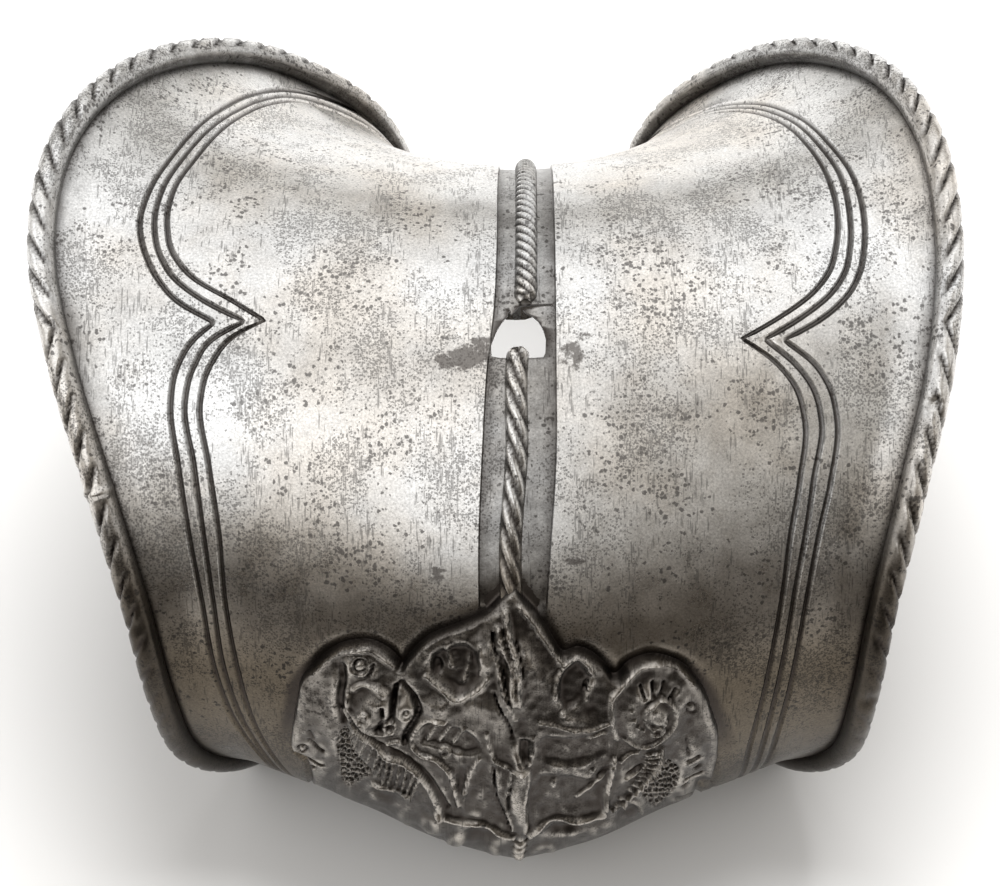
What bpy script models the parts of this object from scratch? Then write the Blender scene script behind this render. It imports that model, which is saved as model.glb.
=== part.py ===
"""A one-piece steel couter: a plate that wraps the elbow, with roped edges, a roped ridge and an embossed point.

X runs along the arm, the elbow points to -Y, the crook of the arm is at +Y, and the couter stands on its two
free ends on the ground plane z = 0, with its origin under the middle of its outer box. Lengths are in metres and
angles in degrees. Angles run round the arm from the point of the elbow (0) over the outer side (90) to the crook
(180).
"""

import math

import bmesh
import bpy
import numpy as np

# The plate
RIDGE_RADIUS = 0.064  # arm axis to the foot of the ridge, on the outer side
RIM_RADIUS = 0.066  # arm axis to the turned edge, on the outer side
HALF_WIDTH = 0.080  # ridge to turned edge
AXIS_HEIGHT = 0.028  # arm axis above the ground
AXIS_BACK = 0.0030  # arm axis behind the origin
RIDGE_RIGHT = 0.0040  # ridge to the right of the origin, because the left side is the wider one
PLATE_WALL = 0.0013
FLARE_RISE = 0.0016  # upturn of the plate beside each turned edge
FLARE_WIDTH = 0.009

# The roped edges
BEAD_RADIUS = 0.0024
STRAND_PITCH = 0.0062
STRAND_CUT = 0.0007
STRAND_TURN = 2.0  # strands that a cut crosses on its way round the bead

# The ridge
ROPE_HALF_WIDTH = 0.0026
ROPE_RISE = 0.0021
ROPE_CUT = 0.0007
ROPE_SLANT = 0.6  # strands that a cut crosses between the middle of the ridge and its side
STRIP_HALF_WIDTH = 0.0055
STRIP_DEPTH = 0.00045
STRIP_STEP = 0.0004

# The ragged hole
HOLE_WIDTH = 0.0090
HOLE_HEIGHT = 0.0094
HOLE_ANGLE = 84.4
CUTTER_REACH = 0.010

# The embossed point
ORNAMENT_HALF_WIDTH = 0.040
ORNAMENT_HEIGHT = 0.060  # from the point of the elbow up to the tip of the leaf, round the plate
ORNAMENT_RADIUS = 0.076  # arm axis to the ornament, which turns an angle into a height
GROUND_RISE = 0.0018
BOSS_RISE = 0.0019
VOLUTE_RISE = 0.0017
RELIEF_EDGE = 0.0016
KEEL_TOP = 0.50  # share of ORNAMENT_HEIGHT where the rope sinks into the keel
KEEL_ROPE = 0.35  # share of the rope's rise that is left on the keel

# Mesh density
ROWS_PER_STRAND = 3
BEAD_SIDES = 5
PLATE_COLUMNS = 24
COARSE_COLUMNS = 4
LINING_COLUMNS = 12
LINING_ROWS = 6

# A row for each section round the arm. The radii are shares of RIDGE_RADIUS and RIM_RADIUS, and left and right are
# shares of HALF_WIDTH. The last column bends the section: 1 is a straight-sided keel, 2 is a round saddle.
SECTIONS = (
    # angle, ridge, rim, left, right, bend
    (-45, 1.06, 0.83, 0.50, 0.51, 1.20),
    (-20, 1.17, 0.86, 0.64, 0.64, 1.22),
    (0, 1.19, 0.87, 0.735, 0.725, 1.25),
    (20, 1.135, 0.875, 0.77, 0.745, 1.35),
    (40, 1.08, 0.875, 0.805, 0.765, 1.50),
    (60, 1.03, 0.88, 0.87, 0.815, 1.70),
    (80, 1.01, 0.89, 0.95, 0.875, 1.90),
    (100, 0.97, 0.93, 1.005, 0.905, 1.90),
    (120, 0.90, 0.99, 0.975, 0.885, 1.80),
    (140, 0.82, 1.04, 0.84, 0.79, 1.75),
    (160, 0.775, 1.065, 0.62, 0.60, 1.70),
    (180, 0.75, 1.02, 0.37, 0.38, 1.70),
    (200, 0.75, 0.96, 0.27, 0.28, 1.70),
    (230, 0.75, 0.90, 0.25, 0.26, 1.70),
)

# The hole's outline, as shares of its width and height from its middle, with the tooth at the bottom and the torn top.
HOLE_OUTLINE = (
    # across, up
    (-0.50, -0.20),
    (-0.44, -0.44),
    (-0.24, -0.50),
    (-0.16, -0.30),
    (-0.06, -0.28),
    (0.02, -0.48),
    (0.34, -0.50),
    (0.48, -0.34),
    (0.50, 0.06),
    (0.36, 0.32),
    (0.12, 0.38),
    (0.02, 0.50),
    (-0.14, 0.38),
    (-0.34, 0.14),
)

# How far the embossed ground reaches on each side of the ridge. Heights are shares of ORNAMENT_HEIGHT above the
# point of the elbow, and widths are shares of ORNAMENT_HALF_WIDTH, here and in the next two tables.
ORNAMENT_OUTLINE = (
    # up, left, right
    (-0.75, 0.83, 0.83),
    (-0.17, 0.88, 0.84),
    (0.07, 0.92, 0.88),
    (0.28, 0.97, 0.89),
    (0.47, 0.98, 0.86),
    (0.60, 0.94, 0.80),
    (0.70, 0.88, 0.71),
    (0.77, 0.80, 0.54),
    (0.80, 0.72, 0.27),
    (0.83, 0.45, 0.19),
    (0.88, 0.31, 0.14),
    (0.93, 0.18, 0.09),
    (1.00, 0.07, 0.03),
    (1.05, 0.02, 0.01),
)

# Raised rings of the two volutes. The last column is a share of VOLUTE_RISE.
VOLUTE_RINGS = (
    # across, up, radius, width, rise
    (-0.64, 0.59, 0.27, 0.07, 1.00),
    (-0.62, 0.57, 0.11, 0.07, 0.90),
    (0.59, 0.54, 0.26, 0.07, 1.00),
    (0.59, 0.54, 0.10, 0.06, 0.90),
)

# Bosses (rise above 0) and hollows (below 0) of the leaf, the brow, the keel and the lower ledge. The last column
# is a share of BOSS_RISE.
BOSSES = (
    # across, up, half across, half up, turn, rise
    (0.00, 0.73, 0.19, 0.25, 0, 0.9),
    (-0.29, 0.74, 0.14, 0.07, 35, -0.9),
    (0.22, 0.68, 0.12, 0.06, -35, -0.8),
    (-0.31, 0.62, 0.15, 0.04, 10, 0.8),
    (0.26, 0.58, 0.12, 0.04, -10, 0.8),
    (-0.21, 0.50, 0.20, 0.04, -6, 1.1),
    (0.20, 0.50, 0.20, 0.04, 6, 1.1),
    (-0.27, 0.38, 0.15, 0.06, 0, -0.8),
    (0.25, 0.38, 0.14, 0.06, 0, -0.7),
    (0.00, 0.27, 0.12, 0.25, 0, 1.5),
    (-0.57, 0.27, 0.08, 0.17, -30, 0.8),
    (0.54, 0.23, 0.08, 0.17, 30, 0.8),
    (-0.30, 0.13, 0.25, 0.04, 10, 1.1),
    (0.31, 0.13, 0.25, 0.04, -10, 1.1),
    (-0.25, -0.03, 0.12, 0.07, 0, -0.8),
    (0.25, -0.03, 0.12, 0.07, 0, -0.8),
)


def smooth_step(value):
    """0 below 0, 1 above 1, and an S curve between."""
    held = np.clip(value, 0.0, 1.0)
    return held * held * (3.0 - 2.0 * held)


def through_rows(rows, column, at):
    """The named column of a table, read on a smooth curve through its rows."""
    table = np.array(rows, dtype=float)
    stations, values = table[:, 0], table[:, column]
    slopes = np.gradient(values, stations)
    row = np.clip(np.searchsorted(stations, at) - 1, 0, len(stations) - 2)
    span = stations[row + 1] - stations[row]
    part = (at - stations[row]) / span
    left = (1 + 2 * part) * (1 - part) ** 2 * values[row] + part * (1 - part) ** 2 * span * slopes[row]
    right = part**2 * (3 - 2 * part) * values[row + 1] + part**2 * (part - 1) * span * slopes[row + 1]
    return left + right


def half_width(angle, side):
    """Ridge to turned edge on the left (side -1) or the right (side 1)."""
    return HALF_WIDTH * through_rows(SECTIONS, 3 if side < 0 else 4, angle)


def plate_point(angle, across):
    """A point of the bare plate's outer face. across is 0 on the ridge, -1 on the left edge and 1 on the right."""
    width = np.where(across < 0, half_width(angle, -1), half_width(angle, 1))
    ridge = RIDGE_RADIUS * through_rows(SECTIONS, 1, angle)
    rim = RIM_RADIUS * through_rows(SECTIONS, 2, angle)
    share = np.abs(across)
    radius = ridge + (rim - ridge) * share ** through_rows(SECTIONS, 5, angle)
    inset = (1.0 - share) * width
    radius = radius + FLARE_RISE * (1.0 - smooth_step(inset / FLARE_WIDTH))
    turn = np.radians(angle)
    behind = AXIS_BACK - radius * np.cos(turn)
    return np.stack([RIDGE_RIGHT + across * width, behind, AXIS_HEIGHT + radius * np.sin(turn)], axis=-1)


def unit(vectors):
    """Vectors of length 1."""
    return vectors / np.linalg.norm(vectors, axis=-1, keepdims=True)


def plate_frame(angle, across):
    """The point, the direction round the arm, the direction to the right and the outward normal of the plate."""
    small_turn, small_step = 0.2, 0.004
    point = plate_point(angle, across)
    around = unit(plate_point(angle + small_turn, across) - plate_point(angle - small_turn, across))
    right = unit(plate_point(angle, across + small_step) - plate_point(angle, across - small_step))
    normal = unit(np.cross(right, around))
    return point, around, unit(np.cross(around, normal)), normal


def run_along(across):
    """Angles along the ridge (across 0) or an edge, with each one's share of the length that stands above ground."""
    angles = np.linspace(SECTIONS[0][0], SECTIONS[-1][0], 400)
    points = plate_point(angles, np.full_like(angles, across))
    steps = np.linalg.norm(np.diff(points, axis=0), axis=1)
    run = np.concatenate([[0.0], np.cumsum(steps)])
    standing = run[points[:, 2] > 0.0]
    length = standing[-1] - standing[0]
    return angles, (run - standing[0]) / length, length


def row_angle(share, across):
    """Angle of a row at a place across the plate: rows are evenly spaced along the ridge and along each edge."""
    ridge_angles, ridge_shares, _ = run_along(0.0)
    rim_angles, rim_shares, _ = run_along(-1.0)
    at_ridge = np.interp(share, ridge_shares, ridge_angles)
    at_rim = np.interp(share, rim_shares, rim_angles)
    return at_ridge + (at_rim - at_ridge) * smooth_step(np.abs(across))


def strand_count():
    """Strands of rope along an edge above ground, a whole number that suits the lining's rows."""
    group = LINING_ROWS // ROWS_PER_STRAND
    return group * max(4, round(run_along(-1.0)[2] / STRAND_PITCH / group))


def spare_strands():
    """Strands below ground at each end, which the level cut takes off."""
    group = LINING_ROWS // ROWS_PER_STRAND
    return group * math.ceil((STRAND_TURN + 0.5) / group)


def pillow(distance, reach):
    """1 at the middle and 0 from reach outward, round on top."""
    return np.sqrt(np.clip(1.0 - (distance / reach) ** 2, 0.0, 1.0))


def relief(across_length, height_up):
    """Rise of the embossed ornament above the plate, at a distance off the ridge and a height up the point."""
    across, up = across_length / ORNAMENT_HALF_WIDTH, height_up / ORNAMENT_HEIGHT
    reach = np.where(
        across < 0,
        through_rows(ORNAMENT_OUTLINE, 1, up),
        through_rows(ORNAMENT_OUTLINE, 2, up),
    )
    reach = np.where(up > ORNAMENT_OUTLINE[-1][0], 0.0, reach)
    inside = smooth_step((reach - np.abs(across)) * ORNAMENT_HALF_WIDTH / RELIEF_EDGE)
    rise = np.full_like(up, GROUND_RISE)
    for ring_across, ring_up, radius, width, share in VOLUTE_RINGS:
        off = np.hypot(across - ring_across, (up - ring_up) * ORNAMENT_HEIGHT / ORNAMENT_HALF_WIDTH)
        rise = rise + VOLUTE_RISE * share * pillow(off - radius, width)
    for boss_across, boss_up, half_across, half_up, turn, share in BOSSES:
        cos_turn, sin_turn = math.cos(math.radians(turn)), math.sin(math.radians(turn))
        to_right, to_top = across - boss_across, up - boss_up
        along = (to_right * cos_turn + to_top * sin_turn) / half_across
        beside = (to_top * cos_turn - to_right * sin_turn) / half_up
        rise = rise + BOSS_RISE * share * smooth_step(1.0 - np.hypot(along, beside))
    return rise * inside


def leaf_tip():
    """Height up the point at which the embossed ground ends in the tip of the leaf."""
    return ORNAMENT_OUTLINE[-1][0] * ORNAMENT_HEIGHT


def strip_depth_at(height_up):
    """Depth of the strips beside the ridge: they run out where the leaf begins."""
    return STRIP_DEPTH * smooth_step((height_up - leaf_tip()) / RELIEF_EDGE + 1.0)


def rope_rise_at(height_up):
    """Rise of the ridge's rope above the strips: it sinks into the keel below the brow."""
    above_keel = smooth_step((height_up - KEEL_TOP * ORNAMENT_HEIGHT) / STRAND_PITCH + 0.5)
    return ROPE_RISE * (KEEL_ROPE + (1.0 - KEEL_ROPE) * above_keel)


class Ring:
    """The closed cross-section of the plate: beads, outer face and lining, as stations numbered round it.

    A mesh point is named by its row along the plate and its station round the ring.
    """

    def __init__(self):
        self.rows = (strand_count() + 2 * spare_strands()) * ROWS_PER_STRAND
        self.stations = []
        self.add_bead(-1, from_root=False)
        self.left_plate = len(self.stations) - 1
        self.add_plate(-1)
        self.add_ridge()
        self.right_plate = len(self.stations)
        self.add_plate(1)
        self.right_bead = len(self.stations)
        self.add_bead(1, from_root=True)
        self.lining = len(self.stations) - 1
        for column in range(1, LINING_COLUMNS):
            self.stations.append(("lining", 1.0 - 2.0 * column / LINING_COLUMNS))
        self.places = np.stack([self.station_points(station) for station in self.stations], axis=1)

    def add_bead(self, side, from_root):
        shares = np.linspace(0.0, 1.0, BEAD_SIDES + 1)
        for share in shares if from_root else shares[::-1]:
            self.stations.append(("bead", side, share))

    def add_plate(self, side):
        shares = np.arange(PLATE_COLUMNS) / PLATE_COLUMNS
        for share in shares if side > 0 else shares[::-1]:
            self.stations.append(("plate", side, share))

    def add_ridge(self):
        foot = STRIP_HALF_WIDTH - STRIP_STEP
        self.stations.append(("ridge", -foot, 0.0))
        for share in (-1.0, -0.62, -0.2, 0.2, 0.62, 1.0):
            self.stations.append(("ridge", share * ROPE_HALF_WIDTH, 0.05 + 0.95 * math.sqrt(1.0 - share**2)))
        self.stations.append(("ridge", foot, 0.0))

    def row_share(self, strands):
        """Shares of the way along the plate for all rows, moved on by some strands."""
        along = np.arange(self.rows + 1) / ROWS_PER_STRAND + strands - spare_strands()
        return along / strand_count()

    def station_points(self, station):
        """Places of all rows at one station."""
        kind = station[0]
        if kind == "bead":
            return self.bead_points(station[1], station[2])
        if kind == "plate":
            return self.plate_points(station[1], station[2])
        if kind == "ridge":
            return self.ridge_points(station[1], station[2])
        across = station[1]
        angle = row_angle(self.row_share(STRAND_TURN * across), np.full(self.rows + 1, across))
        point, _, _, normal = plate_frame(angle, np.full(self.rows + 1, across))
        return point - PLATE_WALL * normal

    def bead_points(self, side, share):
        """Places round a bead, from its root on the outer face (share 0) over it to the lining (share 1)."""
        root = 180.0 + math.degrees(math.asin((BEAD_RADIUS - PLATE_WALL) / BEAD_RADIUS))
        turn = math.radians(root + (-90.0 - root) * share)
        edge = np.full(self.rows + 1, float(side))
        angle = row_angle(self.row_share(STRAND_TURN * side * share), edge)
        point, _, right, normal = plate_frame(angle, edge)
        groove = np.arange(self.rows + 1) % ROWS_PER_STRAND == 0
        depth = STRAND_CUT * min(1.0, 2.5 * share, 5.0 * (1.0 - share))
        radius = (BEAD_RADIUS - depth * groove)[:, None]
        centre = point + (BEAD_RADIUS - PLATE_WALL) * normal
        return centre + radius * (math.cos(turn) * side * right + math.sin(turn) * normal)

    def plate_points(self, side, share):
        """Places on the outer face, from the strip beside the ridge (share 0) towards the bead (share 1)."""
        angle = row_angle(self.row_share(0.0), np.full(self.rows + 1, share))
        width = half_width(angle, side)
        edge_step = np.linalg.norm(plate_point(angle, 1.0) - plate_point(angle, 0.99), axis=1) / 0.01
        root = 1.0 - math.sqrt(BEAD_RADIUS**2 - (BEAD_RADIUS - PLATE_WALL) ** 2) / edge_step
        start = STRIP_HALF_WIDTH / width
        across = side * (start + (root - start) * share)
        point, _, _, normal = plate_frame(angle, across)
        height = relief(across * width, np.radians(angle) * ORNAMENT_RADIUS)
        return point + height[:, None] * normal

    def ridge_points(self, across_length, crown):
        """Places on the strips (crown 0) and over the ridge's rope (crown up to 1)."""
        slant = -ROPE_SLANT * across_length / ROPE_HALF_WIDTH if crown > 0 else 0.0
        angle = row_angle(self.row_share(slant), np.zeros(self.rows + 1))
        width = half_width(angle, np.sign(across_length))
        point, _, _, normal = plate_frame(angle, across_length / width)
        up = np.radians(angle) * ORNAMENT_RADIUS
        groove = np.arange(self.rows + 1) % ROWS_PER_STRAND == 0
        rope = (rope_rise_at(up) - ROPE_CUT * groove) * crown
        height = relief(np.full(self.rows + 1, across_length), up) - strip_depth_at(up) + rope
        return point + height[:, None] * normal

    def is_embossed(self, row, station):
        """Whether the mesh has to be fine here, because the ornament is near."""
        place = self.places[min(row, self.rows), station % len(self.stations)]
        up = math.atan2(place[2] - AXIS_HEIGHT, AXIS_BACK - place[1]) * ORNAMENT_RADIUS
        off = abs(place[0] - RIDGE_RIGHT)
        return up < leaf_tip() + RELIEF_EDGE and off < ORNAMENT_HALF_WIDTH + RELIEF_EDGE

    def cells(self):
        """Blocks of the mesh: first row, first station, rows and stations. They are fine on ropes and relief."""
        found = []
        plate_bands = (
            (self.left_plate, self.left_plate + PLATE_COLUMNS, COARSE_COLUMNS),
            (self.left_plate + PLATE_COLUMNS, self.left_plate + PLATE_COLUMNS + 2, 1),
            (self.right_plate - 2, self.right_plate, 1),
            (self.right_plate, self.right_plate + PLATE_COLUMNS, COARSE_COLUMNS),
        )
        for first, last, step in plate_bands:
            for station in range(first, last, step):
                for row in range(0, self.rows, ROWS_PER_STRAND):
                    if self.is_embossed(row + 1, station + step // 2):
                        found += [
                            (row + up, station + over, 1, 1) for up in range(ROWS_PER_STRAND) for over in range(step)
                        ]
                    else:
                        found.append((row, station, ROWS_PER_STRAND, step))
        rope_bands = (
            (0, self.left_plate),
            (self.left_plate + PLATE_COLUMNS + 2, self.right_plate - 2),
            (self.right_bead, self.lining),
        )
        for first, last in rope_bands:
            found += [(row, station, 1, 1) for station in range(first, last) for row in range(self.rows)]
        for station in range(self.lining, len(self.stations)):
            found += [(row, station, LINING_ROWS, 1) for row in range(0, self.rows, LINING_ROWS)]
        return found

    def border(self, cell):
        """Names of all the mesh points that could lie on a block's border, in order round it."""
        row, station, rows, stations = cell
        names = [(row, station + step) for step in range(stations)]
        names += [(row + step, station + stations) for step in range(rows)]
        names += [(row + rows, station + stations - step) for step in range(stations)]
        names += [(row + rows - step, station) for step in range(rows)]
        return [(at_row, at_station % len(self.stations)) for at_row, at_station in names]


def plate_mesh():
    """The plate as one closed mesh, cut level at the ground."""
    ring = Ring()
    cells = ring.cells()
    corners = set()
    for row, station, rows, stations in cells:
        for at_row in (row, row + rows):
            for at_station in (station, station + stations):
                corners.add((at_row, at_station % len(ring.stations)))
    shape = bmesh.new()
    points = {name: shape.verts.new(ring.places[name]) for name in sorted(corners)}
    for cell in cells:
        shape.faces.new([points[name] for name in ring.border(cell) if name in points])
    bmesh.ops.bisect_plane(
        shape,
        geom=shape.verts[:] + shape.edges[:] + shape.faces[:],
        dist=1e-6,
        plane_co=(0.0, 0.0, 0.0),
        plane_no=(0.0, 0.0, 1.0),
        clear_inner=True,
    )
    open_edges = [edge for edge in shape.edges if edge.is_boundary]
    bmesh.ops.holes_fill(shape, edges=open_edges, sides=0)
    bmesh.ops.recalc_face_normals(shape, faces=shape.faces[:])
    mesh = bpy.data.meshes.new("couter_plate")
    shape.to_mesh(mesh)
    shape.free()
    return mesh


def hole_cutter():
    """A prism with the hole's ragged outline, through the plate on the ridge."""
    turn = math.radians(HOLE_ANGLE)
    radius = RIDGE_RADIUS * float(through_rows(SECTIONS, 1, HOLE_ANGLE))
    outward = np.array([0.0, -math.cos(turn), math.sin(turn)])
    upward = np.array([0.0, math.sin(turn), math.cos(turn)])
    middle = np.array([RIDGE_RIGHT, AXIS_BACK, AXIS_HEIGHT]) + radius * outward
    shape = bmesh.new()
    rings = []
    for reach in (-CUTTER_REACH, CUTTER_REACH):
        ring = []
        for across, up in HOLE_OUTLINE:
            place = middle + reach * outward + up * HOLE_HEIGHT * upward
            ring.append(shape.verts.new(place + np.array([across * HOLE_WIDTH, 0.0, 0.0])))
        rings.append(ring)
    shape.faces.new(rings[0])
    shape.faces.new(rings[1][::-1])
    for here, there in zip(range(len(HOLE_OUTLINE)), [*range(1, len(HOLE_OUTLINE)), 0]):
        shape.faces.new([rings[0][there], rings[0][here], rings[1][here], rings[1][there]])
    bmesh.ops.recalc_face_normals(shape, faces=shape.faces[:])
    mesh = bpy.data.meshes.new("hole_cutter")
    shape.to_mesh(mesh)
    shape.free()
    return mesh


def steel():
    """Worn, pitted steel."""
    material = bpy.data.materials.new("worn_steel")
    material.use_nodes = True
    shader = material.node_tree.nodes["Principled BSDF"]
    shader.inputs["Base Color"].default_value = (0.42, 0.40, 0.38, 1.0)
    shader.inputs["Metallic"].default_value = 1.0
    shader.inputs["Roughness"].default_value = 0.38
    return material


def add_object(name, mesh):
    """A mesh as an object of the scene."""
    item = bpy.data.objects.new(name, mesh)
    bpy.context.scene.collection.objects.link(item)
    return item


def build():
    for item in list(bpy.data.objects):
        bpy.data.objects.remove(item, do_unlink=True)
    plate = add_object("couter_plate", plate_mesh())
    plate.data.materials.append(steel())
    plate.data.shade_smooth()
    plate.data.set_sharp_from_angle(angle=math.radians(35.0))
    cutter = add_object("hole_cutter", hole_cutter())
    cutter.hide_render = True
    cutter.display_type = "WIRE"
    cut = plate.modifiers.new("ragged_hole", "BOOLEAN")
    cut.operation = "DIFFERENCE"
    cut.solver = "EXACT"
    cut.object = cutter


build()
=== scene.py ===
"""Looks of a one-piece steel couter, worn and pitted, with roped edges and ridge and an embossed point.

The frame and the angles are the CAD part's own: X runs along the arm, the elbow points to -Y and the
couter stands on z = 0. Angles run round the arm, in degrees, from the point of the elbow (0) over the
outer side (90) to the crook (180). Lengths are in metres.
"""

import math

import bmesh
import bpy
import numpy as np
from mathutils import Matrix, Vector
from mathutils.kdtree import KDTree


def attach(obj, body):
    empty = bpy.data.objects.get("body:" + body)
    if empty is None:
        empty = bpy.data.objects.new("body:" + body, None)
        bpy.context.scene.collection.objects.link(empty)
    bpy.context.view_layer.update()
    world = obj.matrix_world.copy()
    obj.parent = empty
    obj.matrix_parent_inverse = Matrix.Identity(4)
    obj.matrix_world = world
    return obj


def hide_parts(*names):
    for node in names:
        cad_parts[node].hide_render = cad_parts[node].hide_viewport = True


bl_info = {
    "name": "Steel couter",
    "version": (1, 0, 0),
    "blender": (4, 5, 0),
    "location": "3D View > Sidebar > Couter",
    "description": "Makes the looks of a roped and embossed steel couter",
    "category": "Object",
}

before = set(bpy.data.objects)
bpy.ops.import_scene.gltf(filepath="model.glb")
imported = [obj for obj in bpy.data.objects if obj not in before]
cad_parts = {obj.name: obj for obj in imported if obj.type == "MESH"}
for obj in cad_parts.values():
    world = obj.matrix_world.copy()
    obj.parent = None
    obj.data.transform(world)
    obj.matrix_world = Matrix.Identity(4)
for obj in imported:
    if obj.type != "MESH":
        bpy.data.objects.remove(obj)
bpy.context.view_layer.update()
NODE = "couter_plate"
BODY = "root"

# The plate, as in the CAD part
RIDGE_RADIUS = 0.064  # arm axis to the foot of the ridge, on the outer side
RIM_RADIUS = 0.066  # arm axis to the turned edge, on the outer side
HALF_WIDTH = 0.080  # ridge to turned edge
AXIS_HEIGHT = 0.028  # arm axis above the ground
AXIS_BACK = 0.0030  # arm axis behind the origin
RIDGE_RIGHT = 0.0040  # ridge to the right of the origin
HOLE_ANGLE = 84.4
HOLE_REACH = 0.010  # how far the hole's cutter reaches to both sides of the plate
NUB_LENGTH = 0.0016  # rounded end of a ridge rope, beside the hole

# The ornament's drawing is laid on a flat sheet in front of the elbow and cast on the plate from one point.
EYE = np.array([0.0008, -0.1923, 0.5099])
EYE_TILT = 68.0  # how far above the horizon the eye stands, in degrees
SHEET_AWAY = 0.52  # eye to sheet
SHEET = 0.0376  # the unit of all places and widths in the drawing
SHEET_FOOT = -0.0784  # the sheet's origin below the line of sight
SHEET_RIGHT = 0.0032  # the sheet's origin to the right of the line of sight
ORNAMENT_RADIUS = 0.076  # arm axis to the ornament
ORNAMENT_LOW = -27.0  # angles between which its mesh is laid
ORNAMENT_HIGH = 51.0
ORNAMENT_REACH = 0.0425  # how far its mesh reaches off the ridge

# Mesh density
PLATE_ROWS = 400
FIELD_COLUMNS = 68
RIM_COLUMNS = 9
STRIP_PARTS = (-1.0, -0.66, -0.33, 0.0, 0.33, 0.66, 1.0)  # columns on the strips, from left to right
LINING_COLUMNS = 14
BEAD_ROWS = 820
BEAD_SIDES = 26
RIDGE_ROWS_PER_MM = 4
RIDGE_SIDES = 22
RUN_STEPS = 400
ORNAMENT_CELL = 0.00034
ORNAMENT_BACK_COLUMNS = 12
NODES_IN_A_ROW = 12  # in the node editor

# A row for each section round the arm. The radii are shares of RIDGE_RADIUS and RIM_RADIUS, and left and
# right are shares of HALF_WIDTH. The last column bends the section: 1 is a straight-sided keel, 2 a saddle.
SECTIONS = (
    # angle, ridge, rim, left, right, bend
    (-45, 1.06, 0.83, 0.50, 0.51, 1.20),
    (-20, 1.17, 0.86, 0.64, 0.64, 1.22),
    (0, 1.19, 0.87, 0.735, 0.725, 1.25),
    (20, 1.135, 0.875, 0.77, 0.745, 1.35),
    (40, 1.08, 0.875, 0.805, 0.765, 1.50),
    (60, 1.03, 0.88, 0.87, 0.815, 1.70),
    (80, 1.01, 0.89, 0.95, 0.875, 1.90),
    (100, 0.97, 0.93, 1.005, 0.905, 1.90),
    (120, 0.90, 0.99, 0.975, 0.885, 1.80),
    (140, 0.82, 1.04, 0.84, 0.79, 1.75),
    (160, 0.775, 1.065, 0.62, 0.60, 1.70),
    (180, 0.75, 1.02, 0.37, 0.38, 1.70),
    (200, 0.75, 0.96, 0.27, 0.28, 1.70),
    (230, 0.75, 0.90, 0.25, 0.26, 1.70),
)

# The three incised lines beside each edge, as shares of HALF_WIDTH off the ridge. On each side they meet in
# a point half way up, so each side has one table below the point and one above it.
LEFT_LINES_BELOW = (
    # angle, outer, middle, inner
    (-45, 0.410, 0.385, 0.360),
    (-20, 0.506, 0.482, 0.458),
    (3, 0.567, 0.552, 0.530),
    (17, 0.624, 0.604, 0.578),
    (29, 0.654, 0.632, 0.601),
    (42, 0.670, 0.645, 0.619),
    (53, 0.690, 0.659, 0.626),
    (64, 0.709, 0.676, 0.645),
    (74, 0.724, 0.694, 0.662),
    (79.5, 0.711, 0.676, 0.642),
    (84, 0.675, 0.634, 0.593),
    (86.5, 0.636, 0.573, 0.529),
)
LEFT_LINES_ABOVE = (
    # angle, outer, middle, inner
    (86.5, 0.636, 0.573, 0.529),
    (90, 0.712, 0.656, 0.598),
    (94, 0.758, 0.722, 0.681),
    (98, 0.785, 0.755, 0.725),
    (104, 0.805, 0.774, 0.747),
    (112, 0.791, 0.765, 0.741),
    (120, 0.756, 0.732, 0.707),
    (135, 0.691, 0.666, 0.645),
    (148, 0.624, 0.598, 0.578),
    (162, 0.522, 0.502, 0.475),
    (175, 0.394, 0.367, 0.342),
    (190, 0.270, 0.242, 0.215),
    (230, 0.194, 0.166, 0.140),
)
RIGHT_LINES_BELOW = (
    # angle, outer, middle, inner
    (-45, 0.425, 0.400, 0.375),
    (-9, 0.545, 0.520, 0.495),
    (13, 0.568, 0.540, 0.509),
    (25, 0.584, 0.555, 0.527),
    (35, 0.596, 0.568, 0.541),
    (44, 0.609, 0.580, 0.554),
    (53, 0.626, 0.597, 0.565),
    (62, 0.649, 0.612, 0.583),
    (71, 0.660, 0.627, 0.592),
    (77, 0.639, 0.602, 0.565),
    (80, 0.611, 0.569, 0.528),
    (83.5, 0.551, 0.511, 0.461),
)
RIGHT_LINES_ABOVE = (
    # angle, outer, middle, inner
    (83.5, 0.551, 0.511, 0.461),
    (87, 0.628, 0.583, 0.537),
    (91, 0.685, 0.647, 0.607),
    (95, 0.715, 0.683, 0.649),
    (100, 0.730, 0.700, 0.670),
    (107, 0.734, 0.705, 0.679),
    (115, 0.720, 0.695, 0.668),
    (124, 0.682, 0.661, 0.639),
    (137, 0.624, 0.605, 0.585),
    (146, 0.571, 0.552, 0.531),
    (157, 0.481, 0.462, 0.440),
    (170, 0.385, 0.360, 0.335),
    (190, 0.270, 0.242, 0.215),
    (230, 0.200, 0.170, 0.142),
)
LINE_COLUMNS = (
    # across an incised line from its middle, and the share of its depth
    (-1.0, 0.0), (-0.6, 0.55), (-0.25, 1.0), (0.25, 1.0), (0.6, 0.55), (1.0, 0.0),
)
LINE_PLACES = (0.70, 0.77, 0.84)  # shares of the way to the edge, which set the rows that the lines lie on

# The ridge's rope leans a little to one side, and the sunk strips beside it widen towards the point.
RIDGE_COURSE = (
    # angle, rope off the ridge line, left strip, right strip, in shares of STRIP_HALF_WIDTH
    (-45, -0.15, 1.10, 0.80),
    (40, -0.20, 1.22, 0.80),
    (52, -0.26, 1.24, 0.95),
    (66, -0.08, 1.13, 1.12),
    (80, -0.06, 0.96, 1.12),
    (88, 0.16, 0.78, 1.12),
    (98, 0.22, 0.70, 1.12),
    (112, 0.24, 0.68, 1.12),
    (150, 0.26, 0.60, 1.11),
    (230, 0.10, 0.75, 0.95),
)
STRIP_HALF_WIDTH = 0.0055

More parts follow.
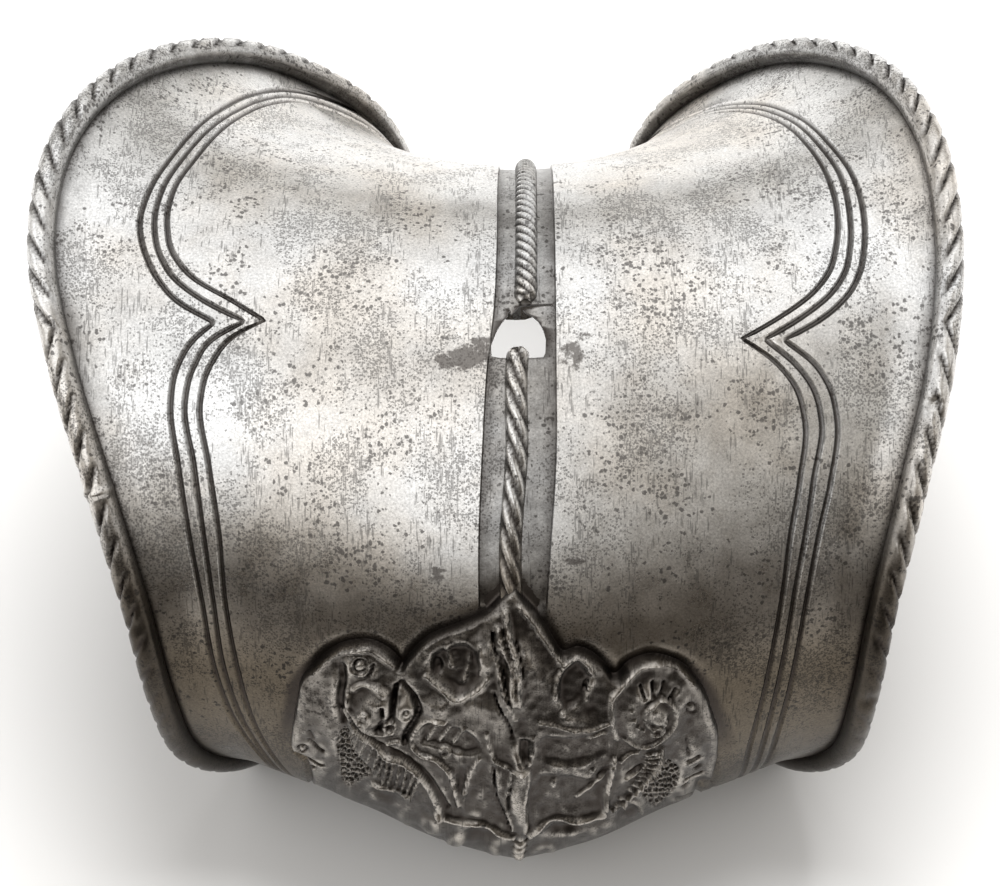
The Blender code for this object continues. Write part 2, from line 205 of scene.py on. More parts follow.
# The hole's outline, as shares of its width and height from its middle.
HOLE_OUTLINE = (
    # across, up
    (-0.51, -0.47), (-0.52, -0.26), (-0.47, -0.11), (-0.40, 0.06), (-0.31, 0.20), (-0.22, 0.31),
    (-0.19, 0.42), (-0.15, 0.34), (-0.09, 0.40), (0.01, 0.50), (0.25, 0.525), (0.59, 0.540), (0.60, 0.515),
    (0.28, 0.485), (0.07, 0.43), (0.12, 0.37), (0.24, 0.31), (0.35, 0.21), (0.44, 0.05), (0.49, -0.14),
    (0.48, -0.40), (0.44, -0.48), (0.15, -0.50), (-0.12, -0.49), (-0.34, -0.50),
)

# A fold across the left bead and pits in both: side, angle, half the angle, share of the way round the
# bead, half the width there, rise in metres.
BEAD_MARKS = (
    (-1, 60.0, 0.65, 0.30, 0.20, 0.0008),
    (1, 73.5, 0.80, 0.26, 0.07, -0.0009),
    (1, 100.0, 1.20, 0.30, 0.10, -0.0004),
    (-1, 38.0, 1.50, 0.34, 0.10, -0.0004),
    (1, 22.0, 1.40, 0.30, 0.12, -0.0005),
)

# Dark stains on the plate: angle, place off the ridge, half the angle, half the width, strength. Places and
# widths are shares of HALF_WIDTH.
STAINS = (
    (80.0, -0.125, 3.0, 0.085, 1.0),
    (81.5, -0.07, 3.2, 0.05, 0.95),
    (80.5, 0.105, 3.6, 0.045, 0.85),
    (83.5, 0.125, 1.6, 0.05, 0.75),
    (127.0, -0.60, 6.0, 0.05, 0.45),
    (47.5, -0.17, 1.6, 0.03, 0.60),
    (64.0, -0.78, 10.0, 0.06, 0.42),
    (62.0, 0.72, 12.0, 0.05, 0.40),
    (96.0, 0.00, 10.0, 0.07, 0.35),
    (132.0, 0.30, 9.0, 0.25, 0.34),
    (128.0, -0.30, 9.0, 0.22, 0.32),
    (50.5, 0.116, 0.9, 0.038, 0.95),
    (49.3, -0.166, 0.9, 0.030, 0.85),
)

# The drawing of the ornament, in units of SHEET to the right of the ridge and up from the tip. Rises are
# shares of stroke_rise, and below 0 they are sunk.
OUTLINE = (
    (-1.05, -0.60), (-1.05, 0.36), (-1.14, 0.52), (-1.145, 0.62), (-1.12, 0.76), (-1.10, 0.87),
    (-1.035, 0.95), (-0.95, 1.025), (-0.88, 1.06), (-0.80, 1.075), (-0.73, 1.07), (-0.66, 1.035),
    (-0.605, 0.985), (-0.585, 0.95), (-0.555, 0.995), (-0.45, 1.10), (-0.305, 1.16), (-0.175, 1.215),
    (-0.10, 1.29), (-0.015, 1.36), (0.03, 1.305), (0.09, 1.24), (0.135, 1.175), (0.195, 1.075),
    (0.235, 1.02), (0.305, 1.04), (0.37, 1.02), (0.445, 0.96), (0.485, 0.90), (0.52, 0.91), (0.575, 0.97),
    (0.69, 1.005), (0.825, 0.965), (0.91, 0.885), (0.965, 0.80), (0.995, 0.705), (1.025, 0.615),
    (1.03, 0.52), (1.025, 0.435), (0.995, 0.345), (0.91, 0.265), (0.91, -0.60),
)

# Waves over the drawing: turns to the right, turns up, start. Two sets make the relief uneven, coarsely and
# finely, and the third spreads the wear and the painted highlights.
HAND_WAVES = (
    (13.0, 7.0, 0.5), (-9.0, 15.0, 2.1), (21.0, -17.0, 4.0), (29.0, 24.0, 1.2), (-37.0, 12.0, 3.1),
)
FINE_WAVES = (
    (67.0, 41.0, 0.3), (-53.0, 88.0, 1.9), (95.0, -71.0, 3.3), (-112.0, -34.0, 5.2), (31.0, 120.0, 2.6),
)
WEAR_WAVES = (
    (9.0, -5.0, 1.1), (-6.0, 11.0, 3.9), (17.0, 14.0, 0.4), (33.0, -27.0, 2.2), (-48.0, 39.0, 5.0),
)

# Waves of the hand-hammered plate: turns along x, y and z, start, share of the height.
SWAY_WAVES = (
    (210.0, 130.0, 40.0, 0.3, 0.34), (-150.0, 220.0, 90.0, 1.7, 0.27), (330.0, -60.0, 260.0, 2.9, 0.18),
    (-290.0, -310.0, 120.0, 4.1, 0.13), (520.0, 350.0, -240.0, 0.9, 0.08),
)

# The two grounds that are punched all over.
PUNCHED_GROUNDS = (
    (
        (-0.88, 0.66), (-0.91, 0.585), (-0.915, 0.47), (-0.895, 0.35), (-0.835, 0.325), (-0.775, 0.37),
        (-0.72, 0.405), (-0.785, 0.48), (-0.82, 0.585), (-0.84, 0.655),
    ),
    (
        (0.75, 0.495), (0.825, 0.435), (0.82, 0.35), (0.785, 0.28), (0.715, 0.22), (0.655, 0.26),
        (0.625, 0.315), (0.665, 0.36), (0.705, 0.40), (0.74, 0.47),
    ),
)

# Sunk panels and hollows: rise, width of the soft edge, corners.
PANELS = (
    (-1.1, 0.05, (
        (-0.455, 1.0), (-0.43, 1.05), (-0.355, 1.085), (-0.255, 1.095), (-0.195, 1.05), (-0.15, 0.94),
        (-0.165, 0.875), (-0.215, 0.825), (-0.275, 0.81), (-0.34, 0.84), (-0.40, 0.89), (-0.445, 0.925),
    )),
    (-0.9, 0.04, (
        (0.205, 0.92), (0.25, 0.985), (0.305, 1.005), (0.365, 0.94), (0.375, 0.85), (0.34, 0.79),
        (0.275, 0.75), (0.225, 0.74), (0.20, 0.81),
    )),
    (-0.7, 0.03, (
        (-0.48, 0.665), (-0.425, 0.695), (-0.355, 0.69), (-0.255, 0.66), (-0.185, 0.60), (-0.165, 0.54),
        (-0.235, 0.51), (-0.325, 0.54), (-0.405, 0.56), (-0.485, 0.57),
    )),
    (-0.7, 0.04, (
        (0.115, 0.61), (0.265, 0.63), (0.435, 0.645), (0.475, 0.59), (0.47, 0.515), (0.365, 0.48),
        (0.215, 0.46), (0.12, 0.48),
    )),
    (-0.9, 0.03, ((0.005, 0.605), (0.075, 0.60), (0.08, 0.54), (0.055, 0.48), (0.005, 0.485))),
    (-0.5, 0.04, (
        (-0.24, 0.38), (-0.215, 0.46), (-0.17, 0.50), (-0.125, 0.46), (-0.085, 0.325), (-0.045, 0.18),
        (-0.11, 0.18), (-0.195, 0.215), (-0.265, 0.24), (-0.27, 0.315),
    )),
    (-0.55, 0.04, (
        (0.095, 0.425), (0.215, 0.44), (0.365, 0.425), (0.445, 0.375), (0.43, 0.27), (0.315, 0.24),
        (0.195, 0.225), (0.115, 0.20), (0.075, 0.30),
    )),
    (-0.5, 0.03, ((-0.31, 0.46), (-0.27, 0.475), (-0.255, 0.40), (-0.28, 0.315), (-0.31, 0.35))),
)

# Domes (rise above 0) and dimples (below 0): to the right, up, half lengths, turn in degrees, rise.
DOMES = (
    (-0.71, 0.76, 0.145, 0.130, 0, 1.3),
    (-0.56, 0.74, 0.060, 0.085, 0, 1.0),
    (-0.775, 0.96, 0.130, 0.075, 0, 0.6),
    (0.69, 0.72, 0.190, 0.200, 0, 0.7),
    (0.69, 0.705, 0.150, 0.160, 0, -1.0),
    (0.695, 0.73, 0.075, 0.080, 0, 1.2),
    (-0.67, 0.295, 0.100, 0.045, -18, -0.9),
    (0.56, 0.225, 0.070, 0.032, 15, -0.9),
    (-0.06, 0.90, 0.260, 0.300, 0, 1.0),
    (-0.36, 0.76, 0.200, 0.080, 0, 0.7),
    (0.29, 0.69, 0.200, 0.060, 0, 0.6),
    (-0.18, 0.12, 0.115, 0.045, -6, -1.5),
    (0.235, 0.155, 0.120, 0.034, 12, -1.4),
    (0.225, 0.735, 0.020, 0.016, 0, 0.7),
    (-0.41, 0.965, 0.040, 0.050, 0, -0.6),
    (0.57, 0.75, 0.012, 0.012, 0, 0.6),
    (0.583, 0.70, 0.012, 0.012, 0, 0.6),
    (0.605, 0.665, 0.012, 0.012, 0, 0.6),
    (0.635, 0.648, 0.012, 0.012, 0, 0.6),
    (0.015, 0.065, 0.040, 0.090, 0, 0.9),
    (0.015, 0.32, 0.060, 0.260, 0, 0.9),
    (-0.435, 0.175, 0.100, 0.050, -12, 0.7),
    (-0.31, 0.11, 0.080, 0.040, -8, 0.7),
    (-0.135, 0.05, 0.090, 0.030, -6, 0.7),
    (0.14, 0.06, 0.090, 0.030, 10, 0.6),
    (0.415, 0.16, 0.110, 0.040, 10, 0.6),
    (0.185, 0.375, 0.020, 0.035, 0, 0.6),
    (0.375, 0.45, 0.016, 0.016, 0, 0.6),
    (-0.26, 0.33, 0.016, 0.016, 0, 0.6),
)

# Small rings: to the right, up, radius, half width, rise.
RINGS = (
    (-0.79, 0.97, 0.030, 0.014, -0.8),
    (-0.76, 0.735, 0.028, 0.012, 0.6),
    (-0.64, 0.665, 0.027, 0.012, 0.8),
    (-0.555, 0.725, 0.020, 0.011, -0.6),
    (-0.355, 0.545, 0.022, 0.010, 0.6),
    (-0.175, 0.86, 0.016, 0.010, 0.5),
    (0.705, 0.64, 0.028, 0.011, 0.6),
    (0.87, 0.755, 0.025, 0.010, -0.5),
    (-1.075, 0.545, 0.020, 0.010, -0.8),
)

# Strokes: rise, half width, places. A stroke above 0 is a rib, and one below 0 a groove.
STROKES = (
    (0.6, 0.022, (
        (-1.02, 0.94), (-0.95, 1.0), (-0.88, 1.035), (-0.80, 1.045), (-0.73, 1.04), (-0.615, 0.965),
    )),
    (-0.9, 0.018, ((-0.725, 0.975), (-0.745, 0.915))),
    (0.9, 0.022, ((-0.81, 0.85), (-0.775, 0.875), (-0.735, 0.88), (-0.69, 0.87), (-0.65, 0.845))),
    (0.7, 0.018, (
        (-0.84, 0.815), (-0.845, 0.755), (-0.775, 0.695), (-0.73, 0.645), (-0.685, 0.625), (-0.625, 0.63),
    )),
    (-1.0, 0.016, ((-0.67, 0.785), (-0.675, 0.735))),
    (-1.0, 0.016, ((-0.68, 0.71), (-0.70, 0.65))),
    (-1.1, 0.020, ((-0.60, 0.87), (-0.615, 0.80), (-0.63, 0.74), (-0.635, 0.71))),
    (-1.1, 0.024, (
        (-0.575, 0.88), (-0.525, 0.825), (-0.495, 0.755), (-0.52, 0.69), (-0.555, 0.62), (-0.565, 0.575),
    )),
    (-0.9, 0.036, ((-0.88, 0.96), (-0.87, 0.87), (-0.885, 0.775), (-0.87, 0.70))),
    (0.9, 0.018, (
        (-0.87, 0.745), (-0.80, 0.64), (-0.72, 0.57), (-0.66, 0.52), (-0.585, 0.48), (-0.495, 0.41),
        (-0.43, 0.335), (-0.375, 0.24),
    )),
    (-0.8, 0.018, (
        (-0.825, 0.69), (-0.755, 0.62), (-0.695, 0.575), (-0.625, 0.54), (-0.545, 0.48), (-0.475, 0.425),
        (-0.40, 0.35), (-0.345, 0.27),
    )),
    (0.6, 0.015, ((-0.645, 0.58), (-0.595, 0.585), (-0.565, 0.56))),
    (0.9, 0.018, (
        (-0.365, 0.70), (-0.42, 0.71), (-0.465, 0.69), (-0.505, 0.645), (-0.525, 0.58), (-0.515, 0.545),
        (-0.48, 0.52), (-0.42, 0.51), (-0.365, 0.475), (-0.33, 0.42), (-0.29, 0.275),
    )),
    (0.6, 0.012, ((-0.445, 0.595), (-0.395, 0.68))),
    (0.6, 0.012, ((-0.385, 0.59), (-0.34, 0.665))),
    (0.6, 0.012, ((-0.31, 0.59), (-0.27, 0.655))),
    (0.5, 0.014, ((-0.355, 1.06), (-0.335, 0.96))),
    (0.5, 0.014, ((-0.24, 1.025), (-0.265, 0.88))),
    (0.5, 0.012, ((-0.185, 1.07), (-0.185, 0.92))),
    (0.8, 0.020, (
        (-0.455, 0.92), (-0.415, 0.89), (-0.37, 0.86), (-0.325, 0.82), (-0.28, 0.805), (-0.185, 0.855),
        (-0.15, 0.90),
    )),
    (1.0, 0.026, (
        (-0.062, 1.245), (-0.045, 1.18), (-0.03, 1.11), (0.0, 0.975), (0.015, 0.90), (0.02, 0.80),
    )),
    (0.9, 0.022, ((-0.09, 1.165), (-0.06, 1.04), (-0.04, 0.99), (-0.02, 0.90), (-0.01, 0.81))),
    (0.9, 0.020, ((-0.10, 1.01), (-0.09, 0.95), (-0.07, 0.89), (-0.045, 0.83), (-0.01, 0.71))),
    (-0.8, 0.012, (
        (-0.115, 1.135), (-0.11, 1.06), (-0.095, 1.0), (-0.07, 0.935), (-0.03, 0.80), (-0.01, 0.72),
    )),
    (-0.7, 0.012, ((0.0, 1.10), (0.01, 1.025), (0.023, 0.925), (0.03, 0.80))),
    (-0.9, 0.012, ((-0.11, 0.84), (-0.09, 0.78), (-0.065, 0.715), (-0.04, 0.665), (-0.02, 0.615))),
    (0.6, 0.018, (
        (0.01, 1.27), (0.05, 1.22), (0.09, 1.17), (0.125, 1.115), (0.16, 1.065), (0.195, 1.015),
        (0.22, 0.97),
    )),
    (0.7, 0.018, (
        (0.195, 0.80), (0.205, 0.90), (0.23, 0.96), (0.265, 1.0), (0.305, 1.015), (0.35, 0.98),
        (0.375, 0.93),
    )),
    (0.7, 0.012, ((0.365, 0.85), (0.35, 0.80))),
    (-0.6, 0.014, ((0.365, 0.92), (0.345, 0.85))),
    (0.6, 0.016, ((0.11, 0.685), (0.19, 0.67), (0.29, 0.66), (0.39, 0.665), (0.45, 0.68))),
    (0.6, 0.012, ((0.365, 0.61), (0.415, 0.63), (0.45, 0.625))),
    (0.6, 0.014, ((0.49, 0.495), (0.43, 0.42), (0.358, 0.36), (0.305, 0.315))),
    (1.1, 0.018, (
        (0.055, 0.135), (0.125, 0.18), (0.225, 0.21), (0.34, 0.22), (0.415, 0.24), (0.445, 0.27),
        (0.455, 0.345), (0.47, 0.425), (0.49, 0.49),
    )),
    (1.2, 0.018, ((-0.40, 0.245), (-0.305, 0.205), (-0.195, 0.19), (-0.105, 0.155), (-0.02, 0.13))),
    (0.7, 0.012, (
        (-0.15, 0.63), (-0.13, 0.56), (-0.115, 0.50), (-0.075, 0.475), (-0.035, 0.455), (-0.045, 0.36),
        (-0.05, 0.26), (-0.025, 0.155),
    )),
    (0.7, 0.012, (
        (-0.025, 0.457), (0.015, 0.445), (0.055, 0.445), (0.055, 0.36), (0.045, 0.28), (0.035, 0.155),
    )),
    (-0.7, 0.011, ((-0.125, 0.46), (-0.105, 0.34), (-0.08, 0.26), (-0.045, 0.17))),
    (0.7, 0.012, ((0.085, 0.61), (0.085, 0.54), (0.06, 0.48))),
    (0.6, 0.013, ((-0.19, 0.50), (-0.235, 0.44), (-0.255, 0.36), (-0.26, 0.30))),
    (0.9, 0.021, (
        (0.51, 0.59), (0.47, 0.685), (0.475, 0.795), (0.515, 0.845), (0.565, 0.92), (0.625, 0.97),
        (0.69, 0.985), (0.755, 0.975), (0.825, 0.94), (0.885, 0.88),
    )),
    (0.7, 0.013, (
        (0.73, 0.805), (0.775, 0.77), (0.795, 0.705), (0.775, 0.65), (0.73, 0.595), (0.67, 0.565),
        (0.605, 0.565), (0.545, 0.595),
    )),
    (0.7, 0.012, (
        (0.725, 0.805), (0.685, 0.79), (0.645, 0.765), (0.63, 0.73), (0.64, 0.69), (0.675, 0.655),
        (0.715, 0.665), (0.735, 0.70),
    )),
    (-0.7, 0.014, ((0.62, 0.88), (0.64, 0.82))),
    (-0.7, 0.014, ((0.68, 0.895), (0.685, 0.825))),
    (-0.7, 0.014, ((0.74, 0.885), (0.725, 0.825))),
    (-0.7, 0.014, ((0.80, 0.85), (0.765, 0.80))),
    (-0.4, 0.014, ((0.855, 0.605), (0.865, 0.525))),
    (0.9, 0.012, ((0.74, 0.545), (0.72, 0.47), (0.67, 0.405), (0.605, 0.325), (0.535, 0.275))),
    (0.7, 0.012, ((0.52, 0.48), (0.565, 0.515), (0.615, 0.53))),
    (-0.9, 0.013, ((0.555, 0.415), (0.63, 0.45))),
    (0.6, 0.011, ((0.545, 0.395), (0.595, 0.415), (0.645, 0.46))),
    (-0.7, 0.012, ((0.405, 0.415), (0.48, 0.47))),
    (0.8, 0.012, ((0.535, 0.27), (0.575, 0.28), (0.615, 0.265), (0.63, 0.225))),
    (0.8, 0.012, ((-0.73, 0.37), (-0.685, 0.36), (-0.625, 0.335), (-0.565, 0.31), (-0.525, 0.30))),
    (-0.9, 0.012, ((-1.04, 0.59), (-0.975, 0.525))),
    (-0.9, 0.012, ((-1.06, 0.485), (-0.99, 0.445))),
    (-0.9, 0.015, ((-1.045, 0.435), (-1.03, 0.43))),
    (-0.6, 0.012, ((-1.045, 0.64), (-1.02, 0.60))),
    (-0.9, 0.013, ((0.86, 0.47), (0.915, 0.505))),
    (-0.8, 0.018, ((0.90, 0.43), (0.92, 0.445))),
    (-1.0, 0.014, ((0.855, 0.36), (0.945, 0.40))),
    (-0.8, 0.018, ((0.85, 0.325), (0.87, 0.33))),
    (-1.0, 0.013, ((0.82, 0.26), (0.90, 0.28))),
    (-0.8, 0.010, ((-0.01, 0.105), (0.045, 0.105))),
    (-0.8, 0.010, ((-0.01, 0.078), (0.045, 0.078))),
    (-0.8, 0.010, ((-0.005, 0.051), (0.04, 0.051))),
    (-0.8, 0.010, ((0.0, 0.026), (0.035, 0.026))),
)

# Feathered leaves: rise, half width, barbs, the guide that they start on and the one that they end on.
FEATHERS = (
    (
        0.8, 0.0095, 12,
        ((-0.815, 0.63), (-0.73, 0.56), (-0.66, 0.51), (-0.585, 0.465), (-0.495, 0.395)),
        ((-0.835, 0.585), (-0.785, 0.49), (-0.725, 0.425), (-0.66, 0.365), (-0.585, 0.325), (-0.525, 0.30)),
    ),
    (
        0.7, 0.0085, 12,
        ((0.655, 0.515), (0.63, 0.435), (0.575, 0.355), (0.475, 0.25)),
        ((0.74, 0.535), (0.72, 0.455), (0.67, 0.39), (0.605, 0.31), (0.535, 0.262)),
    ),
)


def smooth_step(value):
    """0 below 0, 1 above 1, and an S curve between."""
    held = np.clip(value, 0.0, 1.0)
    return held * held * (3.0 - 2.0 * held)


def through_rows(rows, column, at):
    """The named column of a table, read on a smooth curve through its rows."""
    table = np.array(rows, dtype=float)
    stations, values = table[:, 0], table[:, column]
    slopes = np.gradient(values, stations)
    row = np.clip(np.searchsorted(stations, at) - 1, 0, len(stations) - 2)
    span = stations[row + 1] - stations[row]
    part = (at - stations[row]) / span
    left = (1 + 2 * part) * (1 - part) ** 2 * values[row] + part * (1 - part) ** 2 * span * slopes[row]
    right = part**2 * (3 - 2 * part) * values[row + 1] + part**2 * (part - 1) * span * slopes[row + 1]
    return left + right


def half_width(angle, side):
    """Ridge to turned edge on the left (side -1) or the right (side 1)."""
    return HALF_WIDTH * through_rows(SECTIONS, 3 if side < 0 else 4, angle)


def plate_point(angle, across):
    """A point of the bare plate's outer face. across is 0 on the ridge and 1 on an edge, -1 on the left."""
    shape = bpy.context.scene.couter_plate
    width = np.where(across < 0, half_width(angle, -1), half_width(angle, 1))
    ridge = RIDGE_RADIUS * through_rows(SECTIONS, 1, angle)
    rim = RIM_RADIUS * through_rows(SECTIONS, 2, angle)
    share = np.abs(across)
    radius = ridge + (rim - ridge) * share ** through_rows(SECTIONS, 5, angle)
    inset = (1.0 - share) * width
    radius = radius + shape.flare_rise * (1.0 - smooth_step(inset / shape.flare_width))
    turn = np.radians(angle)
    behind = AXIS_BACK - radius * np.cos(turn)
    return np.stack([RIDGE_RIGHT + across * width, behind, AXIS_HEIGHT + radius * np.sin(turn)], axis=-1)


def unit(vectors):
    """Vectors of length 1."""
    return vectors / np.linalg.norm(vectors, axis=-1, keepdims=True)


def plate_frame(angle, across):
    """A point of the bare plate, and the directions round the arm, to the right and out of the plate."""
    small_turn, small_step = 0.2, 0.004
    point = plate_point(angle, across)
    around = unit(plate_point(angle + small_turn, across) - plate_point(angle - small_turn, across))
    right = unit(plate_point(angle, across + small_step) - plate_point(angle, across - small_step))
    normal = unit(np.cross(right, around))
    return point, around, unit(np.cross(around, normal)), normal


def run_along(across):
    """Angles along the ridge (across 0) or an edge, their shares of its standing length, and that length."""
    angles = np.linspace(SECTIONS[0][0], SECTIONS[-1][0], RUN_STEPS)
    points = plate_point(angles, np.full_like(angles, across))
    steps = np.linalg.norm(np.diff(points, axis=0), axis=1)
    run = np.concatenate([[0.0], np.cumsum(steps)])
    standing = run[points[:, 2] > 0.0]
    length = standing[-1] - standing[0]
    return angles, (run - standing[0]) / length, length


def row_angle(share, across):
    """Angle of a row at a place across the plate. Rows are evenly spaced along the ridge and the edges."""
    ridge_angles, ridge_shares, _ = run_along(0.0)
    rim_angles, rim_shares, _ = run_along(-1.0)
    at_ridge = np.interp(share, ridge_shares, ridge_angles)
    at_rim = np.interp(share, rim_shares, rim_angles)
    return at_ridge + (at_rim - at_ridge) * smooth_step(np.abs(across))


def line_distance(angle, side, line):
    """Distance of an incised line off the ridge: line 1 is the outer one and 3 the inner one."""
    left, right = (LEFT_LINES_BELOW, LEFT_LINES_ABOVE), (RIGHT_LINES_BELOW, RIGHT_LINES_ABOVE)
    below, above = left if side < 0 else right
    meeting = above[0][0]
    low = through_rows(below, line, np.minimum(angle, meeting))
    high = through_rows(above, line, np.maximum(angle, meeting))
    return HALF_WIDTH * np.where(angle < meeting, low, high)


def sheet_place(points):
    """Places of points in the ornament's drawing, as shares of SHEET to the right and up."""
    tilt = math.radians(90.0 - EYE_TILT)
    to_point = points - EYE
    away = -(to_point[..., 2] * math.cos(tilt) - to_point[..., 1] * math.sin(tilt))
    over = to_point[..., 1] * math.cos(tilt) + to_point[..., 2] * math.sin(tilt)
    to_right = to_point[..., 0] / away * SHEET_AWAY - SHEET_RIGHT
    up = over / away * SHEET_AWAY - SHEET_FOOT
    return to_right / SHEET, up / SHEET


def lattice_mesh(name, places):
    """A closed mesh through a table of points, rows by stations, with both end rows capped."""
    rows, stations = places.shape[:2]
    numbers = np.arange(rows * stations).reshape(rows, stations)
    here, there = numbers[:-1], numbers[1:]
    faces = np.stack([here, np.roll(here, -1, axis=1), np.roll(there, -1, axis=1), there], axis=-1)
    mesh = bpy.data.meshes.new(name)
    caps = [numbers[0][::-1].tolist(), numbers[-1].tolist()]
    mesh.from_pydata(places.reshape(-1, 3).tolist(), [], faces.reshape(-1, 4).tolist() + caps)
    mesh.validate()
    return mesh


def store(mesh, name, values):
    """Keeps a number for each point of a mesh."""
    layer = mesh.attributes.new(name, "FLOAT", "POINT")
    layer.data.foreach_set("value", np.asarray(values, dtype=np.float32).ravel())


def store_unrolled(mesh, off, angle, down):
    """Keeps each point's place on the unrolled plate: off the ridge, round the arm and out of the plate."""
    places = np.broadcast_arrays(off, np.radians(angle) * RIM_RADIUS, down)
    store_places(mesh, "unrolled", np.stack(places, axis=-1))


def store_places(mesh, name, places):
    """Keeps a place for each point of a mesh."""
    layer = mesh.attributes.new(name, "FLOAT_VECTOR", "POINT")
    layer.data.foreach_set("vector", places.astype(np.float32).ravel())


def point_places(mesh):
    """The places of a mesh's points."""
    places = np.empty(len(mesh.vertices) * 3)
    mesh.vertices.foreach_get("co", places)
    return places.reshape(-1, 3)


def cut_level(mesh):
    """Cuts a mesh level at the ground and closes the cut."""
    shape = bmesh.new()
    shape.from_mesh(mesh)
    bmesh.ops.bisect_plane(
        shape,
        geom=shape.verts[:] + shape.edges[:] + shape.faces[:],
        dist=1e-6,
        plane_co=(0.0, 0.0, 0.0),
        plane_no=(0.0, 0.0, 1.0),
        clear_inner=True,
    )
    open_edges = [edge for edge in shape.edges if edge.is_boundary]
    bmesh.ops.holes_fill(shape, edges=open_edges, sides=0)
    bmesh.ops.recalc_face_normals(shape, faces=shape.faces[:])
    shape.to_mesh(mesh)
    shape.free()


def add_object(name, data):
    """A mesh, a light or a camera as an object of the scene."""
    item = bpy.data.objects.new(name, data)
    bpy.context.scene.collection.objects.link(item)
    return item


def keep_result(item):
    """Turns an object with modifiers into a plain mesh."""
    result = bpy.data.meshes.new_from_object(item.evaluated_get(bpy.context.evaluated_depsgraph_get()))
    item.modifiers.clear()
    old = item.data
    item.data = result
    bpy.data.meshes.remove(old)
    result.name = item.name


def finish_piece(item, sharp_angle):
    """Gives a piece its steel and its smooth shading, and lays it on the CAD plate."""
    mesh = item.data
    if not mesh.materials:
        mesh.materials.append(steel())
    mesh.shade_smooth()
    mesh.set_sharp_from_angle(angle=math.radians(sharp_angle))
    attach(item, BODY)
    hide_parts(NODE)


def feed(tree, source, target):
    """Gives a socket a plain value or links it to another node's output."""
    if isinstance(source, (int, float, str, tuple)):
        target.default_value = source
    else:
        tree.links.new(source, target)


def place_node(tree, kind, inputs=None, **settings):
    """A node of a tree with its settings. Its inputs are given by name or number."""
    node = tree.nodes.new(kind)
    number = len(tree.nodes)
    node.location = (number % NODES_IN_A_ROW * 190, number // NODES_IN_A_ROW * -330)
    for key, value in settings.items():
        setattr(node, key, value)
    for socket, source in (inputs or {}).items():
        feed(tree, source, node.inputs[socket])
    return node


def calculate(tree, operation, *values):
    """A Math node. Each value is a number or an output."""
    return place_node(tree, "ShaderNodeMath", dict(enumerate(values)), operation=operation).outputs[0]


def scaled(tree, vector, factor):
    """A vector or a colour times a number."""
    inputs = {0: vector, "Scale": factor}
    return place_node(tree, "ShaderNodeVectorMath", inputs, operation="SCALE").outputs[0]


def noise(tree, vector, scale, detail, roughness):
    """The factor of a Noise Texture."""
    inputs = {"Vector": vector, "Scale": scale, "Detail": detail, "Roughness": roughness}
    return place_node(tree, "ShaderNodeTexNoise", inputs).outputs["Fac"]


def fade(tree, value, low, high, at_low=0.0, at_high=1.0):
    """An S curve from at_low, below low, to at_high, above high."""
    inputs = {"Value": value, "From Min": low, "From Max": high, "To Min": at_low, "To Max": at_high}
    return place_node(tree, "ShaderNodeMapRange", inputs, interpolation_type="SMOOTHSTEP").outputs[0]


def blend(tree, share, first, second):
    """A mix of two colours."""
    return place_node(tree, "ShaderNodeMix", {0: share, 6: first, 7: second}, data_type="RGBA").outputs[2]


def specks_group():
    """Ragged grains that gather in clusters. Coverage is the share of the cells that hold a grain."""
    name = "Specks"
    if name in bpy.data.node_groups:
        return bpy.data.node_groups[name]
    tree = bpy.data.node_groups.new(name, "ShaderNodeTree")
    face = tree.interface
    face.new_socket("Place", in_out="INPUT", socket_type="NodeSocketVector")
    sizes = {"Scale": 2500.0, "Cluster Scale": 90.0, "Coverage": 0.3, "Softness": 0.25, "Raggedness": 0.9}
    for title, default in sizes.items():
        face.new_socket(title, in_out="INPUT", socket_type="NodeSocketFloat").default_value = default
    face.new_socket("Mask", in_out="OUTPUT", socket_type="NodeSocketFloat")
    given = place_node(tree, "NodeGroupInput").outputs
    place, scale = given["Place"], given["Scale"]
    ragged = place_node(tree, "ShaderNodeTexNoise", {"Vector": place, "Scale": scale, "Detail": 1.0})
    centred = place_node(
        tree, "ShaderNodeVectorMath", {0: ragged.outputs["Color"], 1: (0.5, 0.5, 0.5)}, operation="SUBTRACT"
    )
    pushed = scaled(tree, centred.outputs[0], calculate(tree, "DIVIDE", given["Raggedness"], scale))
    moved = place_node(tree, "ShaderNodeVectorMath", {0: place, 1: pushed}, operation="ADD")
    cells = place_node(tree, "ShaderNodeTexVoronoi", {"Vector": moved.outputs[0], "Scale": scale})
    chance = place_node(tree, "ShaderNodeSeparateXYZ", {0: cells.outputs["Color"]}).outputs[0]
    gathered = fade(tree, noise(tree, place, given["Cluster Scale"], 4.0, 0.62), 0.36, 0.68)
    wanted = calculate(tree, "MULTIPLY", calculate(tree, "MULTIPLY", gathered, 2.0), given["Coverage"])
    size = fade(tree, calculate(tree, "SUBTRACT", wanted, chance), 0.0, 0.25)
    reach = calculate(tree, "MULTIPLY", size, 0.75)
    core = calculate(tree, "SUBTRACT", reach, given["Softness"])
    inside = calculate(tree, "SUBTRACT", 1.0, fade(tree, cells.outputs["Distance"], core, reach))
    there = calculate(tree, "GREATER_THAN", size, 0.02)
    place_node(tree, "NodeGroupOutput", {"Mask": calculate(tree, "MULTIPLY", inside, there)})
    return tree


